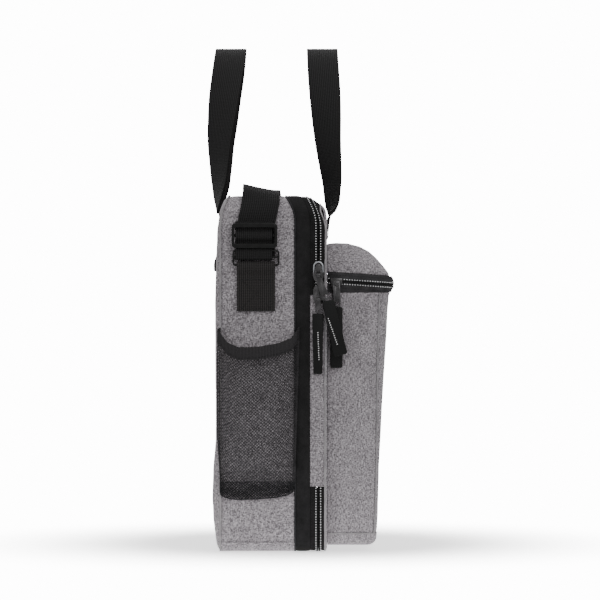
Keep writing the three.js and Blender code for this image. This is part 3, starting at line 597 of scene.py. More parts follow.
# faces of the body: a sheet inside the rounded outline, whose rim turns down to the seam round it
def faceHalfWidth(z, top, radiusTop, radiusBottom, w):
    if z > top - radiusTop:
        return w - radiusTop + math.sqrt(max(radiusTop ** 2 - (z - top + radiusTop) ** 2, 0))
    if z < radiusBottom:
        return w - radiusBottom + math.sqrt(max(radiusBottom ** 2 - (radiusBottom - z) ** 2, 0))
    return w


def crowdEnds(part):
    return 0.45 * part + 0.55 * (0.5 - 0.5 * math.cos(math.pi * part))


def pressed(x, z, low, depth):
    beside = abs(abs(x) - 60 * mm)
    upTo = 1 - smoothStep(z, 332 * mm, 345 * mm)
    return depth * (1 - smoothStep(beside, 15 * mm, 23 * mm)) * smoothStep(z, low - 4 * mm, low + 6 * mm) * upTo


def bodyFace(name, profile, rimLine, top, roll, columns, rows, ripple, facing, pressLow, pressDepth):
    def place(u, v):
        z = top * crowdEnds(v)
        w = faceHalfWidth(z, top, bag["topRadius"] - (bagTop - top) * 0.5, bag["bottomRadius"], halfWidth - 0.3 * mm)
        x = w * (2 * crowdEnds(u) - 1)
        face, rim = curveThrough(profile, z), rimLine(z)
        inwards = min(w - abs(x), 1)
        turn = math.sqrt(max(1 - (1 - min(inwards / roll, 1)) ** 2, 0))
        y = rim + (face - rim) * turn
        point = Vector((x, y, z))
        edge = min(inwards, z, top - z)
        soft = wobble(point, 55 * mm, ripple, 11) * smoothStep(edge, 2 * mm, 30 * mm)
        pucker = wobble(point, 10 * mm, 0.5 * mm, 5) * math.exp(-edge / (10 * mm)) * smoothStep(edge, 0, 2 * mm)
        return Vector((x, y + facing * (soft + pucker - ripple * 0.3 - pressed(x, z, pressLow, pressDepth) * turn),
                       z))
    piece = clothGrid(name, columns, rows, place, (2 * halfWidth / mm, top / mm), (0, facing, 0))
    return thicken(piece, bag["cloth"])


backPanel = bodyFace("backPanel", backProfile, lambda z: curveThrough(seamProfile, z), bagTop, 11 * mm, 72, 88,
                     1.2 * mm, 1, 296 * mm, 2.2 * mm)
finish(backPanel, "shell", heather, "heather", "back_panel")
doorTop = 347.2 * mm
frontPanel = bodyFace("doorPanel", doorProfile, lambda z: doorRimAt(z) + 0.2 * mm, doorTop, 3 * mm, 64, 80, 0.5 * mm,
                      -1, 316 * mm, 1.0 * mm)
finish(frontPanel, "door", heather, "heather", "door_panel")


# piping: a cord in bias-cut cloth, sewn into a seam
def ringChain(start, end, line, out, step=4 * mm):
    count = max(int((end - start) / step), 4)
    spots = [start + (end - start) * i / count for i in range(count + 1)]
    return [ringPoint(d, line(d), out) for d in spots], [ringNormal(d) for d in spots]


backPiping = tube("backPiping", ringChain(0, ringLength, lambda d: seamAt(d) + 0.3 * mm, -0.5 * mm)[0][:-1], 1.1 * mm,
                  closed=True)
finish(backPiping, "shell", pipingCloth, "heather")
doorPiping = tube("doorPiping", ringChain(0, ringLength, lambda d: doorRimAt(outline(d)[1]) + 0.5 * mm,
                                          -0.55 * mm)[0][:-1], 0.95 * mm, closed=True)
finish(doorPiping, "door", pipingCloth, "heather")
bandPiping = tube("bandPiping", ringChain(0, ringLength, lambda d: followLine(bag["bandRear"], d) + 0.1 * mm,
                                          -0.45 * mm)[0][:-1], 0.95 * mm, closed=True)
finish(bandPiping, "shell", blackThread, "webbing")
print("faces and piping done")


# main zip: two tapes with a sewn coil behind each, all round but for the cloth hinge on the near side
zipSettings = {
    "tapeSink": -0.35 * mm,
    "toothPitch": 1.35 * mm,
    "toothReach": 2.0 * mm,
    "stitchPitch": 2.6 * mm,
    "stitchLength": 1.3 * mm,
    "stitchRadius": 0.6 * mm,
    "stitchOffset": 2.35 * mm,
}
hingeLow, hingeHigh = hingeStrip[0].z, hingeStrip[1].z
zipStart, zipEnd = nearHeight(hingeHigh) + 0.4 * mm, ringLength + nearHeight(hingeLow) - 0.4 * mm


def zipLineAt(distance):
    return followLine(bag["zipLine"], distance)


def toothUnit(reach):
    deselectAll()
    bpy.ops.mesh.primitive_cube_add(size=1)
    unit = bpy.context.object
    unit.data.transform(Matrix.Diagonal((0.85 * mm, reach, 0.9 * mm, 1)))
    return modify(unit, "BEVEL", width=0.25 * mm, segments=1)


def zipTeeth(name, points, normals, pitch, reach, shift):
    found, facing = walk(points, normals, pitch)
    places = []
    for index in range(len(found)):
        places.append(frameAlong(found, index, facing[index]) @ Matrix.Translation((0, shift, 0)))
    return scatter(name, toothUnit(reach), places)


def bandEdgeAt(distance):
    return followLine(bag["bandFront"], distance)


def rimEdgeAt(distance):
    return doorRimAt(outline(distance)[1]) + 0.3 * mm


for name, side, outer, body, nodes in (("rearZip", 1, bandEdgeAt, "shell", ("rear_zip_tape", "rear_zip_coil")),
                                       ("frontZip", -1, rimEdgeAt, "door", ("front_zip_tape", "front_zip_coil"))):
    def inner(distance):
        return zipLineAt(distance) + side * 0.15 * mm
    low, high = (inner, outer) if side > 0 else (outer, inner)
    tape = gussetPiece(name + "Tape", zipStart, zipEnd, low, high, 6,
                       dip=0.5 * mm, ripple=0.3 * mm, thickness=0.8 * mm, raised=zipSettings["tapeSink"])
    finish(tape, body, zipTape, "zip_tape", nodes[0])
    points, normals = ringChain(zipStart, zipEnd, lambda d: zipLineAt(d) + side * 1.15 * mm, -0.1 * mm)
    teeth = zipTeeth(name + "Coil", points, normals, zipSettings["toothPitch"], zipSettings["toothReach"], 0)
    finish(teeth, body, coilNylon, "zip_coil", nodes[1])
    points, normals = ringChain(zipStart, zipEnd, lambda d: zipLineAt(d) + side * zipSettings["stitchOffset"],
                                0.12 * mm)
    stitches = stitchRow(name + "Stitching", points, normals, zipSettings["stitchPitch"], zipSettings["stitchLength"],
                         zipSettings["stitchRadius"])
    finish(stitches, body, silverThread, "zip_coil")
    points, normals = ringChain(zipStart, zipEnd, lambda d: outer(d) - side * 1.6 * mm, -0.12 * mm)
    finish(stitchRow(name + "Seam", points, normals, 2.9 * mm, 2.1 * mm, 0.22 * mm), body, blackThread, "zip_tape")

# cloth hinge: plain heather cloth between the band and the door
hinge = gussetPiece("hingeCloth", nearHeight(hingeLow), nearHeight(hingeHigh),
                    lambda d: followLine(bag["doorRim"], d) + 0.6 * mm,
                    lambda d: followLine(bag["bandFront"], d) + 0.2 * mm, 12, dip=0.7 * mm, ripple=0.9 * mm,
                    step=3 * mm, raised=-0.1 * mm)
hinge.data.materials.clear()
hinge.data.materials.append(heatherStrip)
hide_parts("hinge_strip")
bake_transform(hinge)
print("main zip and hinge done")


# front pocket, as outlines by height
pocket = {
    "halfWidth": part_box("pocket_left_panel")[0].x * -1,
    "back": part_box("pocket_left_panel")[1].y,
    "low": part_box("pocket_bottom_panel")[0].z,
    "bottomSeam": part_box("pocket_bottom_panel")[1].z,
    "tapeLow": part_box("pocket_lower_tape")[0].z,
    "lidTop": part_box("lid_panel")[1].z,
    "zipAtBack": 271 * mm,
    "zipSlope": 0.067,
    "lidBand": 9 * mm,
    "cloth": 1.8 * mm,
}
pocketFront = [(5.5, -68), (8.2, -73.5), (15, -76.8), (32.6, -78.3), (88.6, -79.8), (151.6, -83.4), (231.6, -88.4),
               (256, -89.8),
               (260, -92.2), (264.5, -94.2), (270, -94.8), (275, -93.4), (277, -91.4), (279.3, -90)]
pocketFront = [(z * mm, y * mm + originShift) for z, y in pocketFront]
pocketSeam = [(0, -73.5), (34.6, -75.4), (88.6, -77), (189.6, -78), (256, -80), (300, -80)]
pocketSeam = [(z * mm, y * mm + originShift) for z, y in pocketSeam]
lidProfile = [(-91.4, 275.9), (-90, 279.3), (-87.6, 282.8), (-84.5, 286.8), (-77.5, 295), (-70, 301.9), (-61, 306.5),
              (-48, 309.6), (-36, 309.8),
              (-27.6, 308.9)]
lidProfile = [Vector((y * mm + originShift, z * mm, 0)) for y, z in lidProfile]


def zipHeight(y):
    return pocket["zipAtBack"] + pocket["zipSlope"] * (y - originShift + 27 * mm)


planCache = {}


# plan of the pocket at one height: near half from the middle of the front to the back, with its lengths
def pocketPlan(z):
    key = round(z, 4)
    if key not in planCache:
        front = curveThrough(pocketFront, z)
        part = smoothStep(z, 10 * mm, 262 * mm)
        cornerX, cornerY = (9 + 9 * part) * mm, (11 + 19 * part) * mm
        chain = [Vector((0, front)), Vector((-pocket["halfWidth"] + cornerX, front))]
        for i in range(1, 13):
            angle = i / 12 * math.pi / 2
            chain.append(Vector((-pocket["halfWidth"] + cornerX * (1 - math.sin(angle)),
                                 front + cornerY * (1 - math.cos(angle)))))
        chain.append(Vector((-pocket["halfWidth"], pocket["back"])))
        lengths = [0.0]
        for a, b in zip(chain, chain[1:]):
            lengths.append(lengths[-1] + (b - a).length)
        planCache[key] = (chain, lengths)
    return planCache[key]


def pocketPoint(along, z, out=0.0):
    chain, lengths = pocketPlan(z)
    side, target = (1 if along < 0 else -1), min(abs(along), lengths[-1])
    index = max(i for i in range(len(chain) - 1) if lengths[i] <= target + 1e-12)
    part = (target - lengths[index]) / max(lengths[index + 1] - lengths[index], 1e-9)
    spot = chain[index].lerp(chain[index + 1], part)
    ahead = (chain[index + 1] - chain[index]).normalized()
    nx, ny = ahead.y, -ahead.x
    if nx > 0 and index > 0 or ny > 0:
        nx, ny = -nx, -ny
    return Vector((side * (spot.x + nx * out), spot.y + ny * out, z)), Vector((side * nx, ny, 0))


def pocketLength(z):
    return pocketPlan(z)[1][-1]


def seamAlong(z):
    chain, lengths = pocketPlan(z)
    seam = curveThrough(pocketSeam, z)
    for i in range(len(chain) - 1):
        if chain[i + 1].y >= seam:
            part = (seam - chain[i].y) / max(chain[i + 1].y - chain[i].y, 1e-9)
            return lengths[i] + (lengths[i + 1] - lengths[i]) * part
    return lengths[-1]


# wall of the pocket between two heights and two places along its plan
def pocketWall(name, columns, rows, alongAt, heightAt, facing, width, dip=1.1 * mm, ripple=0.9 * mm, raised=0.0,
               thickness=None,
               dips=(True, True, True, True)):
    def place(u, v):
        z0, z1 = heightAt(u, 0), heightAt(u, 1)
        z = z0 + (z1 - z0) * v
        a0, a1 = alongAt(z)
        along = a0 + (a1 - a0) * u
        spot, _ = pocketPoint(along, z)
        edges = (along - a0, a1 - along, z - z0, z1 - z)
        edge = min([abs(e) for e, used in zip(edges, dips) if used] or [1])
        out = raised + (wobble(spot, 48 * mm, ripple, 21) - 0.4 * ripple) * smoothStep(edge, 0, 25 * mm)
        out -= dip * math.exp(-(edge / (2.4 * mm)) ** 2)
        out += wobble(spot, 8 * mm, 0.4 * mm, 9) * math.exp(-edge / (8 * mm))
        return pocketPoint(along, z, out)[0]
    piece = clothGrid(name, columns, rows, place, (width / mm, 240), facing)
    return thicken(piece, thickness or pocket["cloth"])


bottomSeam, tapeLow = pocket["bottomSeam"] + 0.3 * mm, pocket["tapeLow"] - 0.3 * mm
leftWall = pocketWall("pocketLeftPanel", 16, 70, lambda z: (-pocketLength(z), -seamAlong(z) - 0.15 * mm), lambda u,
                      v: (bottomSeam, tapeLow)[v],
                      lambda centre: Vector((centre.x, 0, 0)), 50, dips=(False, True, True, True))
finish(leftWall, "door", heather, "heather", "pocket_left_panel")
rightWall = pocketWall("pocketRightPanel", 16, 70, lambda z: (seamAlong(z) + 0.15 * mm, pocketLength(z)), lambda u,
                       v: (bottomSeam, tapeLow)[v],
                       lambda centre: Vector((centre.x, 0, 0)), 50, dips=(True, False, True, True))
finish(rightWall, "door", heather, "heather", "pocket_right_panel")
frontWall = pocketWall("pocketFrontPanel", 84, 70, lambda z: (-seamAlong(z) + 0.15 * mm, seamAlong(z) - 0.15 * mm),
                       lambda u, v: (bottomSeam, tapeLow)[v],
                       (0, -1, 0), 270, ripple=1.2 * mm)
finish(frontWall, "door", heather, "heather", "pocket_front_panel")
for name, low, high, sink in (("pocketLowerTape", lambda y: tapeLow + 0.3 * mm, lambda y: zipHeight(y) - 0.15 * mm,
                               0.0),
                              ("lidTape", lambda y: zipHeight(y) + 0.15 * mm,
                               lambda y: zipHeight(y) + pocket["lidBand"], 0.0)):
    def heightAt(u, v):
        spot, _ = pocketPoint((2 * u - 1) * pocketLength(270 * mm), 270 * mm)
        return (low, high)[v](spot.y)
    tape = pocketWall(name, 110, 6, lambda z: (-pocketLength(z), pocketLength(z)), heightAt, (0, -1, 0), 380,
                      dip=0.4 * mm, ripple=0.3 * mm,
                      raised=sink, thickness=0.9 * mm, dips=(False, False, True, True))
    finish(tape, "door" if name.startswith("pocket") else "lid", pocketZipTape, "zip_tape",
           "pocket_lower_tape" if name.startswith("pocket") else "lid_tape")


def pocketChain(lift, out, steps=130):
    points, normals = [], []
    for i in range(steps + 1):
        along = (2 * i / steps - 1) * (pocketLength(270 * mm) - 0.5 * mm)
        spot, _ = pocketPoint(along, 270 * mm)
        spot, normal = pocketPoint(along, zipHeight(spot.y) + lift, out)
        points.append(spot)
        normals.append(normal)
    return points, normals


for name, side, body, node in (("pocketLower", -1, "door", "pocket_lower_coil"), ("lid", 1, "lid", "lid_coil")):
    points, normals = pocketChain(side * 1.15 * mm, -0.25 * mm)
    finish(zipTeeth(name + "Coil", points, normals, zipSettings["toothPitch"], zipSettings["toothReach"], 0), body,
           coilNylon, "zip_coil", node)
    points, normals = pocketChain(side * zipSettings["stitchOffset"], 0.05 * mm)
    finish(stitchRow(name + "ZipStitching", points, normals, zipSettings["stitchPitch"], zipSettings["stitchLength"],
                     zipSettings["stitchRadius"]), body, silverThread, "zip_coil")
    points, normals = pocketChain(side * 6.6 * mm, 0.1 * mm)
    finish(stitchRow(name + "ZipSeam", points, normals, 2.9 * mm, 2.1 * mm, 0.22 * mm), body, blackThread, "zip_tape")


def evenly(chain, count):
    lengths = [0.0]
    for a, b in zip(chain, chain[1:]):
        lengths.append(lengths[-1] + (b - a).length)
    found, index = [], 0
    for step in range(count + 1):
        target = lengths[-1] * step / count
        while index < len(chain) - 2 and lengths[index + 1] < target:
            index += 1
        found.append(chain[index].lerp(chain[index + 1],
                                       (target - lengths[index]) / max(lengths[index + 1] - lengths[index], 1e-9)))
    return found


# lid: an arch across, rounded down to the zip at the front
lidSettings = {"columns": 84, "rows": 34, "archRadius": 25 * mm, "archFoot": 280 * mm}
archTop = pocket["lidTop"]
arch = [Vector((-pocket["halfWidth"], lidSettings["archFoot"], 0))]
for i in range(13):
    angle = math.pi - i / 12 * math.pi / 2
    radius = lidSettings["archRadius"]
    arch.append(Vector((-pocket["halfWidth"] + radius + radius * math.cos(angle),
                        archTop - radius + radius * math.sin(angle), 0)))
arch += [Vector((-point.x, point.y, 0)) for point in reversed(arch)]
archEven = evenly(arch, lidSettings["columns"])
profileEven = evenly(lidProfile, lidSettings["rows"])


def lidPlace(u, v):
    across = archEven[round(u * lidSettings["columns"])]
    deep = profileEven[round(v * lidSettings["rows"])]
    share = (across.y - lidSettings["archFoot"]) / (archTop - lidSettings["archFoot"])
    foot = zipHeight(deep.x) + pocket["lidBand"] + 0.3 * mm
    z = foot + (deep.y - foot) * max(share, 0)
    chain, _ = pocketPlan(270 * mm)
    nearCorner = [(point.y, -point.x) for point in chain[1:-1]]
    shift = chain[0].y - profileEven[0].x
    width = curveThrough([(y - shift, x) for y, x in nearCorner], deep.x) / pocket["halfWidth"]
    point = Vector((across.x * width, deep.x, z))
    edge = min(abs(v) * 90 * mm, (z - foot) + 0.2 * mm if abs(u - 0.5) > 0.35 else 1)
    soft = wobble(point, 40 * mm, 1.5 * mm, 31) * smoothStep(edge, 0, 25 * mm)
    pucker = wobble(point, 8 * mm, 0.5 * mm, 33) * math.exp(-edge / (9 * mm))
    outwards = Vector((across.x / pocket["halfWidth"] * (1 - share), -(1 - v) ** 2, share)).normalized()
    sunk = 0.9 * mm * math.exp(-(edge / (2.4 * mm)) ** 2)
    return point + outwards * (soft + pucker - sunk - 0.5 * mm)


lid = clothGrid("lidPanel", lidSettings["columns"], lidSettings["rows"], lidPlace, (330, 100), (0, 0, 1))
thicken(lid, 2.0 * mm)
finish(lid, "lid", heather, "heather", "lid_panel")

# base of the pocket: a tray with rounded corners
deselectAll()
bpy.ops.mesh.primitive_cube_add(size=1)
tray = bpy.context.object
tray.name = "pocketBase"
trayFront = curveThrough(pocketFront, pocket["bottomSeam"])
low, high = Vector((-pocket["halfWidth"], trayFront, pocket["low"])), Vector((pocket["halfWidth"], pocket["back"],
        pocket["bottomSeam"]))
tray.data.transform(Matrix.Translation((low + high) / 2) @ Matrix.Diagonal((*(high - low), 1)))
pick(tray)
bpy.ops.object.mode_set(mode="EDIT")
bpy.ops.mesh.select_mode(type="FACE")
bpy.ops.mesh.select_all(action="DESELECT")
bpy.ops.object.mode_set(mode="OBJECT")
for polygon in tray.data.polygons:
    polygon.select = polygon.normal.z > 0.5 or polygon.normal.y > 0.5
bpy.ops.object.mode_set(mode="EDIT")
bpy.ops.mesh.delete(type="FACE")
bpy.ops.object.mode_set(mode="OBJECT")
modify(tray, "BEVEL", width=9 * mm, segments=6, limit_method="ANGLE", angle_limit=math.radians(40))
modify(tray, "SOLIDIFY", thickness=pocket["cloth"], offset=-1)
smooth(tray)
finish(tray, "door", heather, "heather", "pocket_bottom_panel")
seamPoints = []
for i in range(121):
    along = (2 * i / 120 - 1) * pocketLength(bottomSeam)
    seamPoints.append(pocketPoint(along, bottomSeam, -0.35 * mm)[0])
finish(tube("pocketBaseWelt", seamPoints, 0.8 * mm), "door", pipingCloth, "heather")
for name, side in (("pocketLeftWelt", -1), ("pocketRightWelt", 1)):
    chain = []
    for i in range(61):
        z = bottomSeam + (tapeLow - bottomSeam) * i / 60
        chain.append(pocketPoint(side * seamAlong(z), z, -0.35 * mm)[0])
    finish(tube(name, chain, 0.85 * mm), "door", pipingCloth, "heather")
print("pocket and lid done")


# webbing: a ribbon through frames (centre, half width, half thickness)
def ribbonPiece(name, frames, columns, thickness, width):
    rows = len(frames) - 1
    lengths = [0.0]
    for a, b in zip(frames, frames[1:]):
        lengths.append(lengths[-1] + (b[0] - a[0]).length)

    def place(u, v):
        centre, across, _ = frames[round(v * rows)]
        return centre + across * (2 * u - 1)
    piece = clothGrid(name, columns, rows, place, (width / mm, lengths[-1] / mm), frames[rows // 2][2])
    modify(piece, "SOLIDIFY", thickness=thickness, offset=0, use_even_offset=False)
    modify(piece, "BEVEL", width=0.45 * mm, segments=2, limit_method="ANGLE", angle_limit=math.radians(60))
    return smooth(piece)


handle = {
    "width": 32 * mm,
    "thickness": 1.9 * mm,
    "foot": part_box("back_handle")[0].z,
    "top": 512 * mm,
    "line": [(-60, 340.2), (-60, 347), (-60.4, 354), (-61, 364), (-61.5, 375), (-61.8, 395), (-61.4, 416), (-59, 438),
             (-54, 459), (-45, 480),
             (-33, 496), (-18, 507), (0, 512)],
    "turn": {"back": [(340, 0), (347, 6), (354, 13), (375, 30), (416, 50), (457, 72), (490, 86), (512, 90)],
             "front": [(340, 0), (344, 10), (348, 19), (354, 25), (375, 34), (416, 51), (457, 72), (490, 86),
                       (512, 90)]},
}
handleDepths = {
    "back": [(340, 84.4), (354, 84.2), (375, 82.8), (416, 82.2), (457, 78.5), (490, 74), (512, 71.5)],
    "front": [(340, -31.0), (347, -32.3), (354, -33.2), (375, -33), (416, -29), (457, -26.4), (490, -24), (512, -23)],
}


def handleFrames(depths, turns):
    line = [Vector((x * mm, curveThrough(depths, z) * mm + originShift, z * mm)) for x, z in handle["line"]]
    line += [Vector((-point.x, point.y, point.z)) for point in reversed(line[:-1])]
    path = evenly(smoothChain(line, 8), 150)
    frames = []
    for i, point in enumerate(path):
        along = (path[min(i + 1, 150)] - path[max(i - 1, 0)]).normalized()
        across = Vector((along.z, 0, -along.x)).normalized()
        deep = along.cross(across).normalized()
        turn = math.radians(curveThrough(turns, point.z / mm))
        wide = across * math.cos(turn) + deep * math.sin(turn)
        thick = along.cross(wide).normalized()
        frames.append((point, wide * handle["width"] / 2, thick))
    return frames


for side in ("back", "front"):
    loop = ribbonPiece(side + "Handle", handleFrames(handleDepths[side], handle["turn"][side]), 8,
                       handle["thickness"], handle["width"])
    finish(loop, side + "_handle", webbing, "webbing", side + "_handle")


# box stitch: a rectangle with a cross in it, on a flat patch of webbing
def boxStitch(name, centre, across, up, normal):
    corners = [centre + across * sx + up * sy for sx, sy in ((-1, -1), (1, -1), (1, 1), (-1, 1))]
    rows = [(corners[i], corners[(i + 1) % 4]) for i in range(4)] + [(corners[0], corners[2]),
                                                                     (corners[1], corners[3])]
    parts = []
    for a, b in rows:
        parts.append(stitchRow(name, [a, (a + b) / 2, b], [normal] * 3, 3.0 * mm, 2.3 * mm, 0.3 * mm))
    return joinPieces(name, parts)


sewnEnds = {
    "back": ([(1.2, 281), (1.6, 285), (1.6, 290), (0.6, 297), (0.3, 306), (0.3, 318), (0.5, 328), (1.4, 334),
              (2.4, 338.6)], "shell", 1),
    "front": ([(0.3, 314), (1.0, 320), (2.2, 327), (3.4, 333), (4.4, 338.6)], "door", -1),
}
for side, (points, body, facing) in sewnEnds.items():
    for hand, x in (("left", -60 * mm), ("right", 60 * mm)):
        face = backPanel if side == "back" else frontPanel
        controls = []
        for stand, z in points:
            _, surface, _, _ = face.ray_cast(Vector((x, facing * 0.4, z * mm)), Vector((0, -facing, 0)))
            controls.append(Vector((x, surface.y + facing * stand * mm, z * mm)))
        path = evenly(smoothChain(controls, 6), 24)
        frames = [(point, Vector((handle["width"] / 2, 0, 0)), Vector((0, facing, 0))) for point in path]
        end = ribbonPiece(side + "HandleEnd" + hand.title(), frames, 8, 2.4 * mm, handle["width"])
        finish(end, body, webbing, "webbing", side + "_handle_end_" + hand)
        low, high = path[1], path[13]
        middle, up = (low + high) / 2 + Vector((0, facing * 1.3 * mm, 0)), (high - low) / 2
        stitching = boxStitch(side + "HandleStitch" + hand.title(), middle, Vector((12 * mm, 0, 0)), up,
                              Vector((0, facing, 0)))
        finish(stitching, body, blackThread, "webbing")

# carrying strap over the top, with a ring and an adjuster at each side
strapFront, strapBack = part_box("carrying_strap")[0].y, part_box("carrying_strap")[1].y
strapMiddle = (strapFront + strapBack) / 2
strap = {
    "width": strapBack - strapFront,
    "line": [(-141.4, 294.6), (-141.4, 312), (-141.4, 331), (-140.6, 343), (-134.5, 354), (-124, 360.6),
             (-104, 363.8), (-60, 363.2), (0, 362.6)],
    "tail": [(-141.05, 293.8), (-141.6, 292.6), (-143.5, 291.8), (-145.4, 292.6), (-146, 294.6), (-146, 300.4),
             (-145.5, 302.6), (-145, 304.6), (-145, 308), (-145.6, 310.4),
             (-148.0, 313.4), (-148.5, 315.9), (-148.0, 318.5), (-145.6, 321.4), (-145, 324), (-145, 330)],
    "anchor": [(-143.1, 240.4), (-143.1, 262), (-143.2, 276), (-145.2, 280.5), (-146.4, 283.6), (-146.3, 287),
               (-145.3, 288.9), (-143.5, 289.7), (-141.9, 288.9),
               (-141.0, 286.4), (-140.9, 276), (-140.9, 262), (-140.9, 240.4)],
}


strapLean = {"from": 322 * mm, "to": 356 * mm, "shift": 5 * mm, "tilt": 14}


def sidewaysFrames(line, width, count, sign, smoothness=6, shift=0.0, leaning=False):
    chain = smoothChain([Vector((sign * x * mm, strapMiddle, z * mm)) for x, z in line], smoothness)
    path = evenly(chain, count)
    frames = []
    for i, point in enumerate(path):
        along = (path[min(i + 1, count)] - path[max(i - 1, 0)]).normalized()
        outwards = along.cross(Vector((0, 1, 0))).normalized()
        part = smoothStep(point.z, strapLean["from"], strapLean["to"]) if leaning else 0
        over = smoothStep(abs(point.x), 60 * mm, 118 * mm) * smoothStep(point.z, 350 * mm, 357 * mm) if leaning else 0
        tilt = math.radians(strapLean["tilt"]) * over
        across = Vector((0, math.cos(tilt), 0)) + Vector((0, 0, 1)) * math.sin(tilt)
        middle = point + Vector((0, shift - strapLean["shift"] * part, 0)) + Vector((0, 0, 0.6 * mm * over))
        frames.append((middle, across * width / 2, outwards))
    return frames


fullLine = strap["line"] + [(-x, z) for x, z in reversed(strap["line"][:-1])]
carrying = ribbonPiece("carryingStrap", sidewaysFrames(fullLine, strap["width"], 150, 1, leaning=True), 8, 1.5 * mm,
                       strap["width"])
finish(carrying, "shell", strapWebbing, "webbing", "carrying_strap")
for side, sign in (("left", 1), ("right", -1)):
    tail = ribbonPiece(side + "StrapTail",
                       sidewaysFrames(strap["tail"], strap["width"] - 1.0 * mm, 60, sign, shift=2.2 * mm), 8,
                       1.3 * mm, strap["width"])
    tail.data.materials.clear()
    tail.data.materials.append(strapWebbing)
    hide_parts(side + "_strap_tail")
    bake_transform(tail)
    anchor = ribbonPiece(side + "StrapAnchor", sidewaysFrames(strap["anchor"], strap["width"], 70, sign), 8, 1.4 * mm,
                         strap["width"])
    finish(anchor, "shell", patchWebbing, "webbing", side + "_strap_anchor")
    middle = Vector((-sign * 143.95 * mm, strapMiddle, 257.5 * mm))
    stitching = boxStitch(side + "AnchorStitch", middle, Vector((0, 14.5 * mm, 0)), Vector((0, 0, 14.5 * mm)),
                          Vector((-sign, 0, 0)))
    finish(stitching, "shell", blackThread, "webbing")
    ring = refined(side + "Ring", [side + "_ring"], 0.6 * mm, 2)
    finish(ring, "shell", acetal, "plastic", side + "_ring")
    adjuster = refined(side + "Adjuster", [side + "_adjuster"], 0.7 * mm, 3)
    finish(adjuster, side + "_adjuster", acetal, "plastic", side + "_adjuster")
print("webbing done")


# mesh pockets: knitted diamond mesh gathered into an elastic hem
meshPocket = {
    "bulge": 10.5 * mm,
    "hemHeight": 13 * mm,
    "thread": 0.8 * mm,
    "foldTop": 70 * mm,
    "columns": 28,
    "rows": 48,
}
# share along the pocket: distance back, share of the bulge, mouth height, floor height
pouchPlan = [(0, 0.6, 0, 225, 68), (0.06, 3, 0.45, 221, 60), (0.15, 9, 0.75, 213.5, 57), (0.3, 22, 0.95, 208.5, 54.6),
             (0.5, 42, 1, 205, 53),
             (0.7, 61, 0.97, 204.6, 52.4), (0.82, 72, 0.85, 209, 53.5), (0.9, 79.5, 0.62, 218.5, 57),
             (0.95, 83.2, 0.36, 222.5, 62), (1, 80.2, 0.0, 224, 70)]


def planAt(across, column):
    return curveThrough([(row[0], row[column]) for row in pouchPlan], across)


def mouthAt(across):
    return planAt(across, 3) * mm


def floorAt(across):
    return planAt(across, 4) * mm


def pouchPoint(across, z, sign, extra=0.0):
    low, high = floorAt(across), mouthAt(across)
    up = (z - low) / (high - low)
    rise = min(1, (max(up, 0) * 2.6) ** 0.7) * (1 - 0.22 * max(up - 0.5, 0))
    seam = 79.2
    overhang = 0.25 + 0.95 * smoothStep(up, 0.03, 0.4) - 0.3 * smoothStep(up, 0.8, 1)
    y = planAt(across, 1)
    y = (seam + (y - seam) * overhang if y > seam else y) + 4.6 * (1 - up) * (1 - across) ** 2
    y = y * mm + originShift
    inner = math.sin(math.pi * across) ** 0.5 if 0 < across < 1 else 0
    soft = wobble(Vector((0, y, z * 0.6)), 22 * mm, 2.0 * mm, 41) * inner * smoothStep(up, 0, 0.2)
    creases = 0.0
    for place, lean, width, depth in ((0.83, -0.05, 0.03, 3.0 * mm), (0.62, 0.12, 0.04, 2.6 * mm),
                                      (0.3, -0.1, 0.05, 2.0 * mm)):
        creases += depth * math.exp(-((across - place - lean * up) / width) ** 2) * smoothStep(up, 0.08,
                0.3) * (1 - smoothStep(up, 0.8, 0.98))
    depth = 1.2 * mm + meshPocket["bulge"] * planAt(across, 2) * rise
    depth = max(depth + soft - creases, 0.7 * mm) + extra
    return Vector((sign * (halfWidth + depth), y, z))


# a grid turned into diamonds: every cell gets a middle point, and the old edges between cells go
def netPiece(name, columns, rows, place, outwards):
    net = clothGrid(name, columns, rows, place, (80, 150), outwards)
    editAll(net, (bpy.ops.mesh.poke, {}), (bpy.ops.mesh.select_mode, {"type": "EDGE"}),
            (bpy.ops.mesh.select_all, {"action": "DESELECT"}))
    corners = (columns + 1) * (rows + 1)
    sides = {}
    for polygon in net.data.polygons:
        for key in polygon.edge_keys:
            sides[key] = sides.get(key, 0) + 1
    for edge in net.data.edges:
        edge.select = max(edge.vertices) < corners and sides[edge.key] == 2
    bpy.ops.object.mode_set(mode="EDIT")
    bpy.ops.mesh.dissolve_edges(use_verts=False)
    bpy.ops.mesh.select_mode(type="VERT")
    bpy.ops.object.mode_set(mode="OBJECT")
    return modify(net, "WIREFRAME", thickness=meshPocket["thread"], use_even_offset=False, use_boundary=True,
                  use_replace=True)


